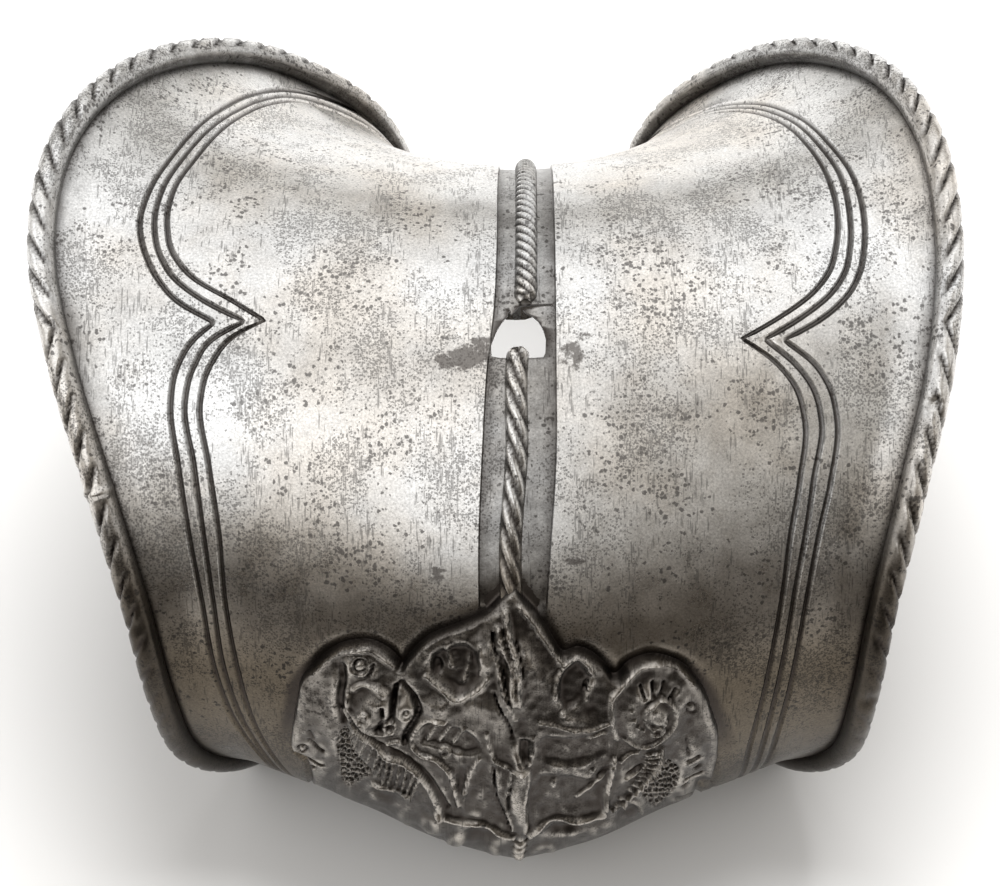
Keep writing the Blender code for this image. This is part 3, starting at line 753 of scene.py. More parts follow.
def steel():
    """Bright forged steel: pitted, scratched round the arm, browned in patches, and darkened by painted shade
    in its recesses and towards the point.
    """
    name = "forged_steel"
    if name in bpy.data.materials:
        return bpy.data.materials[name]
    finish = bpy.context.scene.couter_finish
    material = bpy.data.materials.new(name)
    material.use_nodes = True
    tree = material.node_tree
    shader = tree.nodes["Principled BSDF"]
    shader.inputs["Metallic"].default_value = 1.0
    place = place_node(tree, "ShaderNodeTexCoord").outputs["Object"]
    unrolled = place_node(tree, "ShaderNodeAttribute", attribute_name="unrolled").outputs["Vector"]
    recess, grime, stain, skin = (
        place_node(tree, "ShaderNodeAttribute", attribute_name=mask).outputs["Fac"]
        for mask in ("recess", "grime", "stain", "skin")
    )

    def times(*values):
        return calculate(tree, "MULTIPLY", *values)

    def line(value, slope, start):
        return calculate(tree, "MULTIPLY_ADD", value, slope, start)

    def larger(*values):
        return calculate(tree, "MAXIMUM", *values)

    def specks(where, scale, cluster_scale, coverage, softness):
        inputs = {"Place": where, "Scale": scale, "Cluster Scale": cluster_scale}
        inputs |= {"Coverage": coverage, "Softness": softness}
        return place_node(tree, "ShaderNodeGroup", inputs, node_tree=specks_group()).outputs[0]

    # Grains: small pits, larger blots and scratches that run round the arm
    stretched = {"Vector": unrolled, "Scale": (1.0, 0.13, 1.0)}
    round_arm = place_node(tree, "ShaderNodeMapping", stretched).outputs[0]
    pits = specks(place, 2900.0, 70.0, finish.pitting, 0.35)
    blots = specks(place, 1500.0, 95.0, finish.pitting * 0.45, 0.30)
    scratches = specks(round_arm, 3300.0, 190.0, finish.scratches, 0.45)
    marks = larger(larger(times(pits, 0.8), blots), times(scratches, 0.7))

    # The clean steel, browned in patches and where the skin is, darkened there by the skin and by painted
    # shade, and mottled
    patches = fade(tree, noise(tree, place, 24.0, 4.0, 0.6), 0.40, 0.66)
    brown = larger(times(patches, 0.38), skin)
    clean = blend(tree, brown, (*finish.steel_colour, 1.0), (*finish.brown_colour, 1.0))
    mottle = noise(tree, place, 2600.0, 3.0, 0.7)
    cloud = noise(tree, place, 160.0, 4.0, 0.65)
    skin_and_shade_dimming = line(skin, -0.82, 1.0)
    toned = scaled(tree, clean, times(times(line(mottle, 1.5, 0.25), line(cloud, 0.6, 0.70)), skin_and_shade_dimming))

    # What lies on it: grains, ragged stains, caked dirt mixed with painted shade, and the painted shade of
    # the recesses
    ragged = noise(tree, place, 330.0, 5.0, 0.75)
    stain_edge = line(stain, -0.36, 0.70)
    stained = fade(tree, ragged, stain_edge, calculate(tree, "ADD", stain_edge, 0.12))
    held = calculate(tree, "ADD", line(ragged, 1.2, -0.6), grime)
    caked_and_shaded = times(fade(tree, held, 0.0, 1.0), grime)
    marked = blend(tree, times(marks, 0.78), toned, scaled(tree, tuple(finish.pit_colour), skin_and_shade_dimming))
    spotted = blend(tree, times(stained, 0.8), marked, (*finish.stain_colour, 1.0))
    dirtied_and_shaded = blend(tree, times(caked_and_shaded, 0.9), spotted, (*finish.dirt_and_shade_colour, 1.0))
    sunk = blend(tree, times(recess, 0.92), dirtied_and_shaded, (*finish.recess_colour, 1.0))
    feed(tree, sunk, shader.inputs["Base Color"])

    rough = line(caked_and_shaded, 0.05, line(marks, 0.06, line(cloud, 0.22, 0.19)))
    feed(tree, line(stained, 0.12, rough), shader.inputs["Roughness"])
    unevenness = line(cloud, 4.0, times(mottle, 0.8))
    bump_inputs = {"Strength": 1.0, "Distance": finish.grain_depth, "Height": unevenness}
    feed(tree, place_node(tree, "ShaderNodeBump", bump_inputs).outputs[0], shader.inputs["Normal"])
    return material


def carving_tree(name, sizes, shape):
    """A geometry tree that sinks points along their normals and keeps how dark their painted shade is.

    shape is called with the tree and its inputs, and gives how far each point sinks and how dark its painted
    shade is.
    """
    if name in bpy.data.node_groups:
        return bpy.data.node_groups[name]
    tree = bpy.data.node_groups.new(name, "GeometryNodeTree")
    tree.is_modifier = True
    face = tree.interface
    face.new_socket("Surface", in_out="INPUT", socket_type="NodeSocketGeometry")
    for title, default in sizes.items():
        face.new_socket(title, in_out="INPUT", socket_type="NodeSocketFloat").default_value = default
    face.new_socket("Steel", in_out="INPUT", socket_type="NodeSocketMaterial")
    face.new_socket("Carved", in_out="OUTPUT", socket_type="NodeSocketGeometry")
    given = place_node(tree, "NodeGroupInput").outputs
    depth, dark = shape(tree, given)
    normal = place_node(tree, "GeometryNodeInputNormal").outputs[0]
    sunk = scaled(tree, normal, calculate(tree, "MULTIPLY", depth, -1.0))
    moved = place_node(tree, "GeometryNodeSetPosition", {"Geometry": given["Surface"], "Offset": sunk})
    kept = place_node(tree, "GeometryNodeStoreNamedAttribute", data_type="FLOAT", domain="POINT")
    for socket, source in (("Geometry", moved.outputs[0]), ("Name", "recess"), ("Value", dark)):
        feed(tree, source, kept.inputs[socket])
    real = place_node(tree, "GeometryNodeRealizeInstances", {0: kept.outputs[0]})
    inputs = {"Geometry": real.outputs[0], "Material": given["Steel"]}
    clad = place_node(tree, "GeometryNodeSetMaterial", inputs)
    place_node(tree, "NodeGroupOutput", {"Carved": clad.outputs[0]})
    return tree


def kept_values(tree, name, kind="FLOAT"):
    """What a mesh's points hold under a name."""
    return place_node(tree, "GeometryNodeInputNamedAttribute", {"Name": name}, data_type=kind).outputs[0]


def roping_tree():
    """Cuts strands into a bead, with painted shade in the cuts.

    Its points hold the strand they lie on, their share of the way round (turn) and of the depth (cut).
    """

    def shape(tree, given):
        strand, turn, share = (kept_values(tree, name) for name in ("strand", "turn", "cut"))
        phase = calculate(tree, "SUBTRACT", strand, calculate(tree, "MULTIPLY", turn, given["Cut Turn"]))
        from_cut = calculate(tree, "DIVIDE", calculate(tree, "PINGPONG", phase, 0.5), given["Cut Width"])
        rounded = fade(tree, from_cut, 0.0, 1.0, 1.0, 0.0)
        depth = calculate(tree, "MULTIPLY", calculate(tree, "MULTIPLY", rounded, given["Cut Depth"]), share)
        # The cuts' painted shade, darkest in the middle of each cut.
        dark = calculate(tree, "MULTIPLY", calculate(tree, "MULTIPLY", rounded, share), 1.7)
        return depth, calculate(tree, "MINIMUM", dark, 1.0)

    return carving_tree("Roping", {"Cut Depth": 0.0006, "Cut Turn": 2.0, "Cut Width": 0.3}, shape)


def punching_tree():
    """Drives a net of small round holes into the punched grounds, with painted shade in the holes."""

    def shape(tree, given):
        share, old = kept_values(tree, "punched"), kept_values(tree, "recess")
        place = kept_values(tree, "unrolled", "FLOAT_VECTOR")
        settings = {"voronoi_dimensions": "2D", "feature": "DISTANCE_TO_EDGE"}
        cells = place_node(tree, "ShaderNodeTexVoronoi", **settings)
        scale = calculate(tree, "DIVIDE", 1.0, given["Pitch"])
        for socket, source in (("Vector", place), ("Scale", scale), ("Randomness", 0.8)):
            feed(tree, source, cells.inputs[socket])
        rounded = fade(tree, cells.outputs["Distance"], 0.04, given["Thread Width"])
        hole = calculate(tree, "MULTIPLY", rounded, share)
        return calculate(tree, "MULTIPLY", hole, given["Depth"]), calculate(tree, "MAXIMUM", hole, old)

    return carving_tree("Punching", {"Pitch": 0.00092, "Depth": 0.0005, "Thread Width": 0.22}, shape)


def add_tree(item, name, tree, **values):
    """Adds a geometry tree to an object and sets its inputs. Their names have underscores for spaces."""
    modifier = item.modifiers.new(name, "NODES")
    modifier.node_group = tree
    for socket in tree.interface.items_tree:
        key = socket.name.lower().replace(" ", "_")
        if key in values:
            modifier[socket.identifier] = values[key]


def number(name, description, default, **settings):
    """A number that a user may change."""
    return bpy.props.FloatProperty(name=name, description=description, default=default, **settings)


def length(name, description, default):
    """A size in metres that a user may change."""
    return number(name, description, default, unit="LENGTH", precision=5)


def colour(name, description, default):
    """A colour that a user may change."""
    settings = {"name": name, "description": description, "default": default, "subtype": "COLOR"}
    return bpy.props.FloatVectorProperty(**settings)


class CouterPlate(bpy.types.PropertyGroup):
    wall: length("Wall", "Thickness of the plate", 0.0013)
    flare_rise: length("Flare rise", "Upturn beside the edges", 0.0016)
    flare_width: length("Flare width", "Width of the upturn", 0.009)
    line_width: length("Line width", "Width of an incised line", 0.0012)
    line_depth: length("Line depth", "Depth of an incised line", 0.00055)
    strip_depth: length("Strip depth", "Depth of the strips beside the ridge", 0.0007)
    strip_step: length("Strip step", "Width of the strips' side walls", 0.00025)
    hole_width: length("Hole width", "Width of the ragged hole", 0.0090)
    hole_height: length("Hole height", "Height of the ragged hole", 0.0094)
    sway: length("Sway", "Height of the hammered unevenness", 0.00012)


class CouterRopes(bpy.types.PropertyGroup):
    bead_radius: length("Bead radius", "Radius of the turned edges", 0.0024)
    strand_pitch: length("Strand pitch", "Distance between cuts on the edges", 0.0060)
    cut_depth: length("Cut depth", "Depth of the cuts on the edges", 0.00080)
    cut_turn: number("Cut turn", "Strands that a cut crosses on its way round an edge", 3.6)
    ridge_rise: length("Ridge rise", "Height of the ridge's rope", 0.0021)
    ridge_half_width: length("Ridge half width", "Half the width of the ridge's rope", 0.0019)
    ridge_cut: length("Ridge cut", "Depth of the cuts on the ridge", 0.0007)
    middle: number("Middle", "Angle at which the edges' cuts turn the other way", 85.0)


class CouterOrnament(bpy.types.PropertyGroup):
    ground_rise: length("Ground rise", "Rise of the embossed ground", 0.0018)
    stroke_rise: length("Stroke rise", "Rise of a full stroke of the ornament", 0.0010)
    moat_depth: length("Moat depth", "Depth of the plate beside the ornament", 0.0006)
    moat_width: length("Moat width", "Width of the sunk border beside the ornament", 0.0030)


class CouterFinish(bpy.types.PropertyGroup):
    steel_colour: colour("Steel", "Colour of the clean steel", (0.73, 0.73, 0.725))
    brown_colour: colour("Brown", "Colour of the browned patches", (0.58, 0.48, 0.36))
    pit_colour: colour("Pits", "Colour of the pits", (0.085, 0.080, 0.078))
    stain_colour: colour("Stains", "Colour of the dark stains", (0.12, 0.108, 0.10))
    # The dirt colour also paints shade at the beads' roots and on their inner sides, and low down on the
    # beads.
    dirt_and_shade_colour: colour("Dirt", "Colour of the dark skin on the ornament", (0.040, 0.035, 0.031))
    # The recess colour is painted shade in the recesses.
    recess_colour: colour("Recesses", "Colour of old dirt in the recesses", (0.040, 0.033, 0.029))
    pitting: number("Pitting", "Share of the steel that is pitted", 0.50, subtype="FACTOR")
    scratches: number("Scratches", "Share of the steel that is scratched", 0.33, subtype="FACTOR")
    # These two settings place both the brown skin and the painted shade towards the point.
    skin_angle: number("Skin angle", "Angle round the arm below which the brown skin is full", 26.0)
    skin_fade: number("Skin fade", "Degrees over which the brown skin runs out", 29.0)
    grain_depth: length("Grain depth", "Depth of the fine unevenness", 0.000015)


class CouterStage(bpy.types.PropertyGroup):
    floor_colour: colour("Floor", "Colour of the floor", (0.62, 0.615, 0.607))
    floor_reach: length("Floor reach", "Half the side of the floor", 3.0)
    key_power: number("Key power", "Power of the large light above", 15.0, unit="POWER")
    sky_strength: number("Sky", "Brightness of the soft light all round", 1.45)
    side_glow: number("Side glow", "Extra light from the left and the right", 0.45)
    fill_power: number("Fill power", "Power of the light under the arch", 0.05, unit="POWER", precision=3)
    camera_lens: number("Lens", "Focal length of the camera in millimetres", 99.6)


def edge_inset(angle, side):
    """Share of the way to the edge at which the bead's root meets the plate."""
    radius, wall = bpy.context.scene.couter_ropes.bead_radius, bpy.context.scene.couter_plate.wall
    near = plate_point(angle, np.full_like(angle, 0.99 * side))
    step = np.linalg.norm(plate_point(angle, np.full_like(angle, float(side))) - near, axis=-1) / 0.01
    return 1.0 - math.sqrt(radius**2 - (radius - wall) ** 2) / step


def field_columns(side):
    """Columns of one side's outer face, from the strip to the bead.

    Each is the place that sets its rows, the two tracks that it lies between, its share of the way from one
    to the other, its place across an incised line and its share of that line's depth.
    """
    columns = []
    inner, middle, outer = LINE_PLACES
    for part in np.linspace(0.0, 1.0, FIELD_COLUMNS, endpoint=False)[1:]:
        columns.append((inner * part, "strip", 3, part, 0.0, 0.0))
    for place, line, following in ((inner, 3, 2), (middle, 2, 1), (outer, 1, None)):
        for across, depth in LINE_COLUMNS:
            columns.append((place + 0.015 * across, line, line, 0.0, across, depth))
        if following:
            columns.append((place + 0.035, line, following, 0.5, 0.0, 0.0))
    for part in np.linspace(0.0, 1.0, RIM_COLUMNS)[1:]:
        columns.append((outer + (1.0 - outer) * part, 1, "edge", part, 0.0, 0.0))
    return columns if side > 0 else columns[::-1]


def sway_height(points):
    """Gentle unevenness of a hand-hammered plate, as a share of its full height."""
    x, y, z = points[..., 0], points[..., 1], points[..., 2]
    height = np.zeros_like(x)
    for along_x, along_y, along_z, start, share in SWAY_WAVES:
        height = height + share * np.sin(along_x * x + along_y * y + along_z * z + start)
    return height


def outer_columns(shares):
    """Angles, distances off the ridge and depths of the outer face's columns, from the left edge on."""
    plate = bpy.context.scene.couter_plate
    angles, offs, depths = [], [], []

    def add(angle, off, depth):
        angles.append(angle)
        offs.append(off)
        depths.append(depth * np.ones_like(angle))

    def track(name, angle, side):
        if name == "strip":
            return strip_reach(angle, side)
        if name == "edge":
            return half_width(angle, side) * edge_inset(angle, side)
        return line_distance(angle, side, name)

    def add_side(side):
        for place, start, end, part, across, depth in field_columns(side):
            angle = row_angle(shares, np.full_like(shares, place))
            off = track(start, angle, side) * (1.0 - part) + track(end, angle, side) * part
            if start == end:
                run = math.radians(1.0) * RIM_RADIUS
                slope = (track(start, angle + 0.5, side) - track(start, angle - 0.5, side)) / run
                spread = np.minimum(np.sqrt(1.0 + slope**2), 2.2)
                off = off + across * 0.5 * plate.line_width * spread
            add(angle, side * off, -plate.line_depth * depth)

    rim = row_angle(shares, np.ones_like(shares))
    add(rim, -half_width(rim, -1), 0.0)
    add_side(-1)
    ridge = row_angle(shares, np.zeros_like(shares))
    left, right = strip_reach(ridge, -1), strip_reach(ridge, 1)
    sunk = -strip_depth_at(plate_point(ridge, np.zeros_like(ridge)))
    add(ridge, -left, 0.0)
    for part in STRIP_PARTS:
        add(ridge, part * ((left if part < 0 else right) - plate.strip_step), sunk)
    add(ridge, right, 0.0)
    add_side(1)
    add(rim, half_width(rim, 1), 0.0)
    return np.stack(angles, axis=1), np.stack(offs, axis=1), np.stack(depths, axis=1)


def strip_reach(angle, side):
    """Distance from the ridge line to the outside of a strip."""
    return STRIP_HALF_WIDTH * through_rows(RIDGE_COURSE, 2 if side < 0 else 3, angle)


def strip_depth_at(points):
    """Depth of the strips beside the ridge: they run out where the leaf begins."""
    _, up = sheet_place(points)
    return bpy.context.scene.couter_plate.strip_depth * smooth_step((up - 1.20) / 0.10)


def plate_piece():
    """The plate: outer face with its incised lines and sunk strips, lining, level ends and ragged hole."""
    plate, ornament = bpy.context.scene.couter_plate, bpy.context.scene.couter_ornament
    shares = np.linspace(-0.05, 1.05, PLATE_ROWS)
    angle, off, depth = outer_columns(shares)
    width = np.where(off < 0, half_width(angle, -1), half_width(angle, 1))
    point, _, _, normal = plate_frame(angle, off / width)
    inside = outline_depth(point)
    beside = ground_share(*sheet_place(point)).clip(0.1, 1.0)
    beside = beside * smooth_step(1.0 + inside / ornament.moat_width)
    moat = np.maximum(beside, 1.7 * smooth_step((inside - 0.0003) / 0.0010))
    height = depth + plate.sway * sway_height(point) - ornament.moat_depth * moat
    outer = point + height[..., None] * normal
    across = np.linspace(1.0, -1.0, LINING_COLUMNS)[None, :] * np.ones((PLATE_ROWS, 1))
    inner_angle = row_angle(shares[:, None] * np.ones_like(across), across)
    inner_point, _, _, inner_normal = plate_frame(inner_angle, across)
    inner = inner_point - plate.wall * inner_normal
    mesh = lattice_mesh("plate", np.concatenate([outer, inner], axis=1))
    lining = np.zeros_like(across)
    recess, grime, stain = plate_dirt_and_shade(angle, off, depth, inside)
    store(mesh, "recess", np.concatenate([recess, lining], axis=1))
    store(mesh, "grime", np.concatenate([grime, lining + 0.75], axis=1))
    store(mesh, "stain", np.concatenate([stain, lining], axis=1))
    store(mesh, "skin", np.concatenate([brown_skin_and_shade(angle), 0.6 + lining], axis=1))
    inner_off = across * np.where(across < 0, half_width(inner_angle, -1), half_width(inner_angle, 1))
    all_offs = np.concatenate([off, inner_off], axis=1)
    all_downs = np.concatenate([height, lining - plate.wall], axis=1)
    store_unrolled(mesh, all_offs, np.concatenate([angle, inner_angle], axis=1), all_downs)
    cut_level(mesh)
    item = add_object("plate", mesh)
    cutter = add_object("hole_cutter", hole_cutter())
    cut = item.modifiers.new("ragged_hole", "BOOLEAN")
    cut.operation = "DIFFERENCE"
    cut.solver = "EXACT"
    cut.object = cutter
    keep_result(item)
    bpy.data.objects.remove(cutter)
    dirty_and_shaded_hole(item.data)
    finish_piece(item, 50.0)


def plate_dirt_and_shade(angle, off, depth, inside):
    """How dark the painted shade in the recesses, the old dirt and the stains are at each point of the outer
    face.
    """
    plate = bpy.context.scene.couter_plate
    width = np.where(off < 0, half_width(angle, -1), half_width(angle, 1))
    to_edge = width - np.abs(off)
    wall = np.where(off < 0, strip_reach(angle, -1), strip_reach(angle, 1)) - np.abs(off)
    on_strip = (wall > -0.00002) * np.clip(-depth / plate.strip_depth, 0.0, 1.0)
    # Painted shade in the incised lines, beside the beads' roots, in a groove round the ornament and at the
    # foot of the strips' walls.
    recess = np.clip(-depth / plate.line_depth, 0.0, 1.0) * (wall < -0.0006)
    recess = np.maximum(recess, 0.9 - 0.9 * smooth_step((to_edge - 0.0020) / 0.0013))
    ornament_groove_shade = smooth_step(1.5 * (1.0 + inside / 0.0026)) * smooth_step((angle - 8.0) / 12.0)
    recess = np.maximum(recess, ornament_groove_shade)
    recess = np.maximum(recess, 0.6 * on_strip * (1.0 - smooth_step((wall - 0.0002) / 0.0008)))
    grime = np.maximum(0.74 * on_strip, 0.5 * (1.0 - smooth_step((to_edge - 0.003) / 0.007)))
    stain = np.zeros_like(off)
    for at_angle, at_off, half_angle, half_off, share in STAINS:
        away = np.hypot((angle - at_angle) / half_angle, (off / HALF_WIDTH - at_off) / half_off)
        stain = np.maximum(stain, share * smooth_step(1.6 * (1.0 - away)))
    return recess, grime, stain


def brown_skin_and_shade(angle):
    """How brown and dark the steel is towards the point: a brown skin where it was hardly ever rubbed bright,
    and painted shade.
    """
    finish = bpy.context.scene.couter_finish
    return 1.0 - smooth_step((angle - finish.skin_angle) / finish.skin_fade)


def hole_frame():
    """Middle of the hole and the directions out of the plate and up along the ridge there."""
    turn = math.radians(HOLE_ANGLE)
    radius = RIDGE_RADIUS * float(through_rows(SECTIONS, 1, HOLE_ANGLE))
    outward = np.array([0.0, -math.cos(turn), math.sin(turn)])
    upward = np.array([0.0, math.sin(turn), math.cos(turn)])
    return np.array([RIDGE_RIGHT, AXIS_BACK, AXIS_HEIGHT]) + radius * outward, outward, upward


def hole_cutter():
    """A prism with the hole's ragged outline, through the plate on the ridge."""
    plate = bpy.context.scene.couter_plate
    middle, outward, upward = hole_frame()
    rings = []
    for away in (-HOLE_REACH, HOLE_REACH):
        for across, up in HOLE_OUTLINE:
            place = middle + away * outward + up * plate.hole_height * upward
            rings.append(place + np.array([across * plate.hole_width, 0.0, 0.0]))
    places = np.array(rings).reshape(2, len(HOLE_OUTLINE), 3)
    mesh = lattice_mesh("hole_cutter", places)
    shape = bmesh.new()
    shape.from_mesh(mesh)
    bmesh.ops.recalc_face_normals(shape, faces=shape.faces[:])
    shape.to_mesh(mesh)
    shape.free()
    return mesh


def dirty_and_shaded_hole(mesh):
    """Darkens the points that the cut left on the hole's edge with dirt and painted shade, blackest at its
    top.
    """
    plate = bpy.context.scene.couter_plate
    middle, _, upward = hole_frame()
    from_middle = point_places(mesh) - middle
    across, up = from_middle[:, 0], from_middle @ upward
    sizes = np.array([plate.hole_width, plate.hole_height])
    on_edge = distance_to_course(across, up, np.array(HOLE_OUTLINE) * sizes, closed=True) < 0.00002
    on_edge &= from_middle[:, 2] > -0.01
    darkest_above = 0.35 + 0.6 * smooth_step((up / plate.hole_height + 0.45) / 0.35)
    for name, values in (("recess", darkest_above), ("grime", 0.9)):
        layer = mesh.attributes[name].data
        old = np.empty(len(mesh.vertices), dtype=np.float32)
        layer.foreach_get("value", old)
        layer.foreach_set("value", np.where(on_edge, values, old).astype(np.float32))


def edge_rope(side, name):
    """A turned edge: a bead whose cuts start on its crown and lean away from its middle, both ways."""
    ropes, plate = bpy.context.scene.couter_ropes, bpy.context.scene.couter_plate
    shares = np.linspace(-0.03, 1.03, BEAD_ROWS)
    edge = np.full(BEAD_ROWS, float(side))
    angle = row_angle(shares, edge)
    point, _, right, normal = plate_frame(angle, edge)
    centre = point + (ropes.bead_radius - plate.wall) * normal
    root = 180.0 + math.degrees(math.asin((ropes.bead_radius - plate.wall) / ropes.bead_radius))
    round_share = np.arange(BEAD_SIDES) / BEAD_SIDES
    turn = np.radians(root - 360.0 * round_share)[None, :, None]
    round_way = np.cos(turn) * side * right[:, None, :] + np.sin(turn) * normal[:, None, :]
    marks = np.zeros((BEAD_ROWS, BEAD_SIDES))
    for mark_side, at_angle, half_angle, at_share, half_share, rise in BEAD_MARKS:
        if mark_side == side:
            along_mark = np.exp(-(((angle - at_angle) / half_angle) ** 2))
            marks += rise * along_mark[:, None] * np.exp(-(((round_share - at_share) / half_share) ** 2))
    places = centre[:, None, :] + (ropes.bead_radius + marks[..., None]) * round_way
    if side < 0:
        places = places[:, ::-1]
        round_share = round_share[::-1]
    mesh = lattice_mesh(name, places)
    angles, along, length = run_along(float(side))
    middle = np.interp(ropes.middle, angles, along)
    strands = np.abs(shares - middle) * length / ropes.strand_pitch
    ones = np.ones_like(places[..., 0])
    rise_in = smooth_step((round_share - 0.20) / 0.10)
    run_out = 1.0 - smooth_step((round_share - 0.50) / 0.22)
    store(mesh, "strand", strands[:, None] * ones)
    store(mesh, "turn", round_share[None, :] * ones)
    kept = 0.35 + 0.65 * smooth_step((angle - 20.0) / 24.0)
    store(mesh, "cut", (rise_in * run_out)[None, :] * kept[:, None])
    # Painted shade at the bead's root and on its inner side, and dirt with painted shade low down towards the
    # point.
    root_shade = 1.0 - smooth_step((round_share - 0.10) / 0.16)
    inner_side_shade = 0.6 * (1.0 - smooth_step((round_share - 0.24) / 0.10))
    low_dirt_and_shade = 0.8 * (1.0 - smooth_step((angle - 38.0) / 34.0))
    round_shade = np.maximum(0.9 * root_shade, inner_side_shade)[None, :] * ones
    store(mesh, "grime", np.maximum(round_shade, low_dirt_and_shade[:, None]))
    store(mesh, "skin", brown_skin_and_shade(angle - 8.0)[:, None] * ones)
    off = side * (HALF_WIDTH + ropes.bead_radius * 6.0 * round_share[None, :])
    store_unrolled(mesh, off, angle[:, None], 0.0)
    item = add_object(name, mesh)
    cut = {"cut_depth": ropes.cut_depth, "cut_turn": ropes.cut_turn, "cut_width": 0.20}
    add_tree(item, "roping", roping_tree(), steel=steel(), **cut)
    keep_result(item)
    cut_level(item.data)
    finish_piece(item, 60.0)


def ridge_rope(name, from_angle, to_angle, first_pitch, last_pitch, nub):
    """A length of the ridge's rope between two angles. Its cuts get further apart towards the first."""
    ropes, plate = bpy.context.scene.couter_ropes, bpy.context.scene.couter_plate
    rows = int((to_angle - from_angle) * RIDGE_RADIUS * math.radians(1.0) * 1000 * RIDGE_ROWS_PER_MM)
    angle = np.linspace(from_angle, to_angle, rows)
    steps = np.radians(np.diff(angle)) * RIDGE_RADIUS
    pitch = np.linspace(first_pitch, last_pitch, rows)
    strands = np.concatenate([[0.0], np.cumsum(steps / pitch[1:])])
    lean = STRIP_HALF_WIDTH * through_rows(RIDGE_COURSE, 1, angle)
    across = lean / half_width(angle, 1)
    point, _, right, normal = plate_frame(angle, across)
    turn = 2.0 * math.pi * np.arange(RIDGE_SIDES) / RIDGE_SIDES
    along = np.cumsum(np.concatenate([[0.0], steps]))
    from_end = along[-1] - along
    tip = np.ones(rows)
    if nub == "high":
        tip = np.sqrt(np.clip(1.0 - (1.0 - np.minimum(from_end / NUB_LENGTH, 1.0)) ** 2, 0.02, 1.0))
    if nub == "low":
        tip = 0.6 + 0.4 * smooth_step(along / NUB_LENGTH)
    half, rise = ropes.ridge_half_width * tip, ropes.ridge_rise * tip
    foot = -plate.strip_depth
    sideways = np.cos(turn)[None, :, None] * half[:, None, None] * right[:, None, :]
    buried = 0.8 * (plate.wall + foot)
    raised = np.where(np.sin(turn) > 0.0, np.sin(turn) * rise[:, None] * 0.95, np.sin(turn) * buried)
    upward = (foot + raised)[..., None] * normal[:, None, :]
    places = (point[:, None, :] + sideways + upward)[:, ::-1]
    turn = turn[::-1]
    mesh = lattice_mesh(name, places)
    ones = np.ones_like(places[..., 0])
    over = np.where(turn <= math.pi, turn / math.pi, 0.0)
    crown = np.sin(turn).clip(0.0, 1.0)[None, :]
    store(mesh, "strand", strands[:, None] * ones)
    store(mesh, "turn", over[None, :] * ones)
    store(mesh, "cut", crown**0.5 * ones)
    # Darker on the rope's flanks and lighter on its crown.
    store(mesh, "grime", (0.85 - 0.85 * crown) * ones)
    store(mesh, "skin", brown_skin_and_shade(angle - 10.0)[:, None] * ones)
    store_unrolled(mesh, np.cos(turn)[None, :] * half[:, None], angle[:, None], 0.0)
    item = add_object(name, mesh)
    cut = {"cut_depth": ropes.ridge_cut, "cut_turn": 2.0, "cut_width": 0.34}
    add_tree(item, "roping", roping_tree(), steel=steel(), **cut)
    keep_result(item)
    cut_level(item.data)
    finish_piece(item, 60.0)


def smooth_course(places, parts, closed=False):
    """Places on a smooth curve through a drawing's places."""
    at = np.array(places, dtype=float)
    if len(at) < 3:
        return at
    before = np.roll(at, 1, axis=0) if closed else np.vstack([at[:1], at[:-1]])
    after = np.roll(at, -1, axis=0) if closed else np.vstack([at[1:], at[-1:]])
    slope = 0.5 * (after - before)
    ends = after if closed else at[1:]
    slopes_there = np.roll(slope, -1, axis=0) if closed else slope[1:]
    starts, slopes_here = (at, slope) if closed else (at[:-1], slope[:-1])
    part = (np.arange(parts) / parts)[None, :, None]
    curve = (
        (1 + 2 * part) * (1 - part) ** 2 * starts[:, None]
        + part * (1 - part) ** 2 * slopes_here[:, None]
        + part**2 * (3 - 2 * part) * ends[:, None]
        + part**2 * (part - 1) * slopes_there[:, None]
    ).reshape(-1, 2)
    return curve if closed else np.vstack([curve, at[-1:]])


def distance_to_course(x, y, course, closed=False):
    """Distance of drawing places from a course."""
    nearest = np.full(x.shape, np.inf)
    last = len(course) if closed else len(course) - 1
    for step in range(last):
        start, end = course[step], course[(step + 1) % len(course)]
        run = end - start
        squared = max(float(run @ run), 1e-12)
        part = np.clip(((x - start[0]) * run[0] + (y - start[1]) * run[1]) / squared, 0.0, 1.0)
        away = np.hypot(x - start[0] - part * run[0], y - start[1] - part * run[1])
        nearest = np.minimum(nearest, away)
    return nearest


def depth_inside(x, y, course):
    """Distance of drawing places inside a closed course, below 0 outside it."""
    inside = np.zeros(x.shape, dtype=bool)
    for step in range(len(course)):
        start, end = course[step - 1], course[step]
        if start[1] == end[1]:
            continue
        spans = (start[1] > y) != (end[1] > y)
        inside ^= spans & (x < (end[0] - start[0]) * (y - start[1]) / (end[1] - start[1]) + start[0])
    distance = distance_to_course(x, y, course, closed=True)
    return np.where(inside, distance, -distance)


def near_course(x, y, course, margin):
    """The drawing places that a course can reach, as a mask."""
    low, high = course.min(axis=0) - margin, course.max(axis=0) + margin
    return (x > low[0]) & (x < high[0]) & (y > low[1]) & (y < high[1])


def outline_depth(points):
    """Distance of places inside the ornament's outline, in metres, below 0 outside it."""
    x, y = sheet_place(points)
    return depth_inside(x, y, smooth_course(OUTLINE, 3, closed=True)) * SHEET


